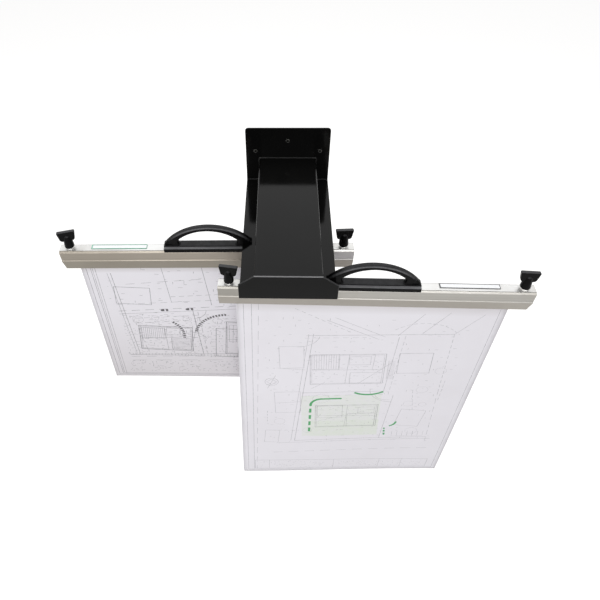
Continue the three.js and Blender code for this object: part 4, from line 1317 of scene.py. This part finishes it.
def label(binder, rim_finish, card_finish):
    across = BINDERS[binder]["label"]
    bm = bmesh.new()
    inner = LABEL_X - 0.7 * BINDERS[binder]["viewer"]
    for middle, half_x, half_y, corner in ((LABEL_X, 64, 6.3, 1.2), (inner, 62.3, 5.3, 0.6)):
        face = oblong(bm, middle, across, half_x, half_y)
        rounded_corners(bm, face.verts[:], corner, 4)
    bmesh.ops.delete(bm, geom=bm.faces[:], context="FACES_ONLY")
    bmesh.ops.bridge_loops(bm, edges=bm.edges[:])
    pulled(bm, bm.faces[:], (0, 0, 1))
    softened(bm, 0.25, 2)
    rim = new_object(f"{binder}_label_frame", bm, binder_place(binder))
    smooth(rim)
    dressed(rim, rim_finish, f"{binder}_binder", f"{binder}_label_rim")
    bm = bmesh.new()
    face = oblong(bm, LABEL_X, across, 62.7, 5)
    rounded_corners(bm, face.verts[:], 0.5, 3)
    top = pulled(bm, bm.faces[:], (0, 0, 0.3))[0]
    eased_faces(bm, [top], [(0.08, 0.1)], Vector((0, 0, 1)))
    card = new_object(f"{binder}_label_insert", bm, binder_place(binder))
    smooth(card)
    dressed(card, card_finish, f"{binder}_binder", f"{binder}_label_card")


# Drawings

def sheet_wave(binder, x, drop, behind):
    share = drop / BINDERS[binder]["length"]
    across = 2 * x / SHEET_WIDTH
    if binder == "front":
        twist = (12 * across + 3) * share ** 1.4
        curl = 3 * math.sin(2.1 * across + 0.5) + 2.5 * math.sin(4.4 * share + 1.1 * across)
    else:
        twist = (1.2 * across - 5) * share ** 1.4
        curl = 1.5 * math.sin(2.4 * across - 0.6)
    fan = behind * (SHEET_STEP + 2.2 * share * (1 + 0.35 * math.sin(3 * across + behind)))
    return twist + curl * share + fan


def drawing_sheet(binder, behind, printed, blank):
    facts = BINDERS[binder]
    length = facts["length"]
    viewer = facts["viewer"]
    bm = bmesh.new()
    layer = bm.loops.layers.uv.new("sheet")
    bmesh.ops.create_grid(bm, x_segments=44, y_segments=60, size=0.5)
    for face in bm.faces:
        for loop in face.loops:
            across = loop.vert.co.x + 0.5
            loop[layer].uv = (across if viewer < 0 else 1 - across, loop.vert.co.y + 0.5)
    for corner in bm.verts:
        x = corner.co.x * SHEET_WIDTH
        under = (0.5 - corner.co.y) * length
        drop = max(0, under - (SHEET_TOP - LIP) - 2)
        away = sheet_wave(binder, x, drop, behind) if drop > 0 else behind * SHEET_STEP
        skew = behind * 0.9 * (1 if behind % 2 else -1)
        level = SHEET_TOP - under + 0.6 * behind
        corner.co = (x + facts["shift"] + skew, -viewer * (away - SHEET_STEP), level)
    if viewer > 0:
        bmesh.ops.reverse_faces(bm, faces=bm.faces)
    bm.transform(binder_place(binder))
    name = f"{binder}_sheet_{behind + 1}"
    mesh = bpy.data.meshes.new(name)
    bm.to_mesh(mesh)
    bm.free()
    mesh.shade_smooth()
    mesh.materials.append(printed)
    mesh.materials.append(blank)
    made = bpy.data.objects.new(name, mesh)
    scene.collection.objects.link(made)
    paper = made.modifiers.new("paper", "SOLIDIFY")
    paper.thickness = 0.0002
    paper.offset = 0
    paper.material_offset = 1
    paper.material_offset_rim = 1
    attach(made, f"{binder}_binder")
    if behind == 0:
        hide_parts(f"{binder}_plan_set")
    return made


# Studio: a pale floor, soft light from above and from the front

def background_rays(tree):
    path = put(tree, "ShaderNodeLightPath")
    seen = maths(tree, "MAXIMUM", path.outputs["Is Camera Ray"], path.outputs["Is Glossy Ray"])
    return maths(tree, "MAXIMUM", seen, path.outputs["Is Transmission Ray"])


def studio():
    world = bpy.data.worlds.new("studio")
    scene.world = world
    world.use_nodes = True
    tree = world.node_tree
    out = tree.nodes["World Output"]
    light = tree.nodes["Background"]
    light.inputs["Color"].default_value = (0.72, 0.72, 0.73, 1)
    light.inputs["Strength"].default_value = 0.9
    white = put(tree, "ShaderNodeBackground", {"Color": (1, 1, 1, 1), "Strength": 1.0})
    shown = {0: background_rays(tree), 1: light.outputs[0], 2: white.outputs[0]}
    both = put(tree, "ShaderNodeMixShader", shown)
    tree.links.new(both.outputs[0], out.inputs["Surface"])

    bm = bmesh.new()
    bmesh.ops.create_grid(bm, x_segments=1, y_segments=1, size=9)
    bmesh.ops.translate(bm, verts=bm.verts, vec=(0, 1, -1.45))
    mesh = bpy.data.meshes.new("floor")
    bm.to_mesh(mesh)
    bm.free()
    floor = bpy.data.objects.new("floor", mesh)
    scene.collection.objects.link(floor)
    material = bpy.data.materials.new("floor_pale")
    material.use_nodes = True
    tree = material.node_tree
    tree.nodes.remove(tree.nodes["Principled BSDF"])
    matt = put(tree, "ShaderNodeBsdfDiffuse", {"Color": (0.5, 0.495, 0.485, 1)})
    glow = put(tree, "ShaderNodeEmission", {"Color": (1, 1, 1, 1)})
    tree.links.new(times(tree, background_rays(tree), 0.62), glow.inputs["Strength"])
    both = put(tree, "ShaderNodeAddShader", {0: matt.outputs[0], 1: glow.outputs[0]})
    tree.links.new(both.outputs[0], tree.nodes["Material Output"].inputs["Surface"])
    mesh.materials.append(material)

    for name, spot, aim, size, power, on_matt in (
            ("light_above", (0, 1.5, 2.3), (0, -0.2, -0.2), (5.0, 2.4), 60, True),
            ("light_front", (-0.25, -2.75, 0.15), (0, -0.3, -0.55), (2.4, 1.8), 31.5, True),
            ("light_back", (0.4, 2.2, -0.1), (0, -0.2, -0.4), (2.4, 1.6), 26, True),
            ("light_sheen", (0.2, -1.63, 1.32), (0.1, -0.3, -0.1), (2.6, 0.34), 22, False)):
        lamp = bpy.data.lights.new(name, "AREA")
        lamp.shape = "RECTANGLE"
        lamp.size, lamp.size_y = size
        lamp.energy = power
        made = bpy.data.objects.new(name, lamp)
        scene.collection.objects.link(made)
        made.location = spot
        made.rotation_euler = (Vector(aim) - Vector(spot)).to_track_quat("-Z", "Y").to_euler()
        made.visible_camera = False
        made.visible_diffuse = on_matt
    scene.view_settings.view_transform = "Standard"


set_camera()
studio()

coat = powder_coat()
plastic = moulding()
steel = zinc_steel()
oxide = black_screw()
card = card_stock()
blank = plain_paper()
# Two copies of one metal: the rear is a darker, painted-shade copy of the front, and each end tone paints
# light along the binder's length
metals = {
    "front": extrusion("extrusion_front", 0, (0.382, 0.371, 0.347), (0.335, 0.31, 0.272),
                       (0.298, 0.287, 0.264), -0.05, -0.12),
    "rear": extrusion("extrusion_rear", 0.9, (0.286, 0.258, 0.22), (0.25, 0.226, 0.184),
                      (0.52, 0.515, 0.5), 0.02, 0.1),
}
# Painted light: the bush's pale tone stands in for the light under each knob, where shade would fall
bush_lit_metal = extrusion("turned_bush_painted_light", 0, (0.8, 0.79, 0.77), (0.75, 0.74, 0.72), (0.8, 0.79, 0.77), 0, 1)
rims = {
    "front": rim_plastic("label_rim_grey", (0.035, 0.037, 0.042, 1), (0.06, 0.062, 0.068, 1)),
    "rear": rim_plastic("label_rim_green", (0.12, 0.43, 0.28, 1), (0.18, 0.5, 0.34, 1)),
}
# The last two arguments of each paint shade: darker towards the bottom, and the clamp's shadow at the top
printed = {
    "front": plan_paper("paper_site_plan", BINDERS["front"]["length"], FRONT_PENCIL, (0.4, 0.85),
                        FRONT_STROKES, (0.04, 0.33, 0.1, 1), FRONT_LAWNS, 0.0, (0.62, 30)),
    "rear": plan_paper("paper_house_plan", BINDERS["rear"]["length"], REAR_PENCIL, (0.55, 1.0),
                       REAR_STROKES, (0.06, 0.056, 0.06, 1), [], 0.6, (0.8, 18)),
}

wall_plate(coat)
arm(coat)
weld_bead(coat)
front_plate(coat)
for count, (x, z) in enumerate(FIXING_SPOTS):
    wall_screw(f"wall_screw_{count + 1}", x, z, oxide)

knob = knob_shape()
grip = handle_shape()
for binder in BINDERS:
    clamp_spine(binder, metals[binder])
    for number in (1, 2):
        clamp_jaw(binder, number, metals[binder])
        nodes[f"{binder}_handle_screw_{number}"].data.materials[0] = steel
    for end in ENDS:
        wing_knob(binder, end, knob, plastic)
        knob_bush(binder, end, bush_lit_metal)
        nodes[f"{binder}_{end}_stud"].data.materials[0] = steel
    nodes[f"{binder}_draw_bar"].data.materials[0] = metals[binder]
    handle(binder, grip, plastic)
    label(binder, rims[binder], card)
    for behind in range(3):
        drawing_sheet(binder, behind, printed[binder] if behind == 0 else blank, blank)
bpy.data.objects.remove(knob)
bpy.data.objects.remove(grip)
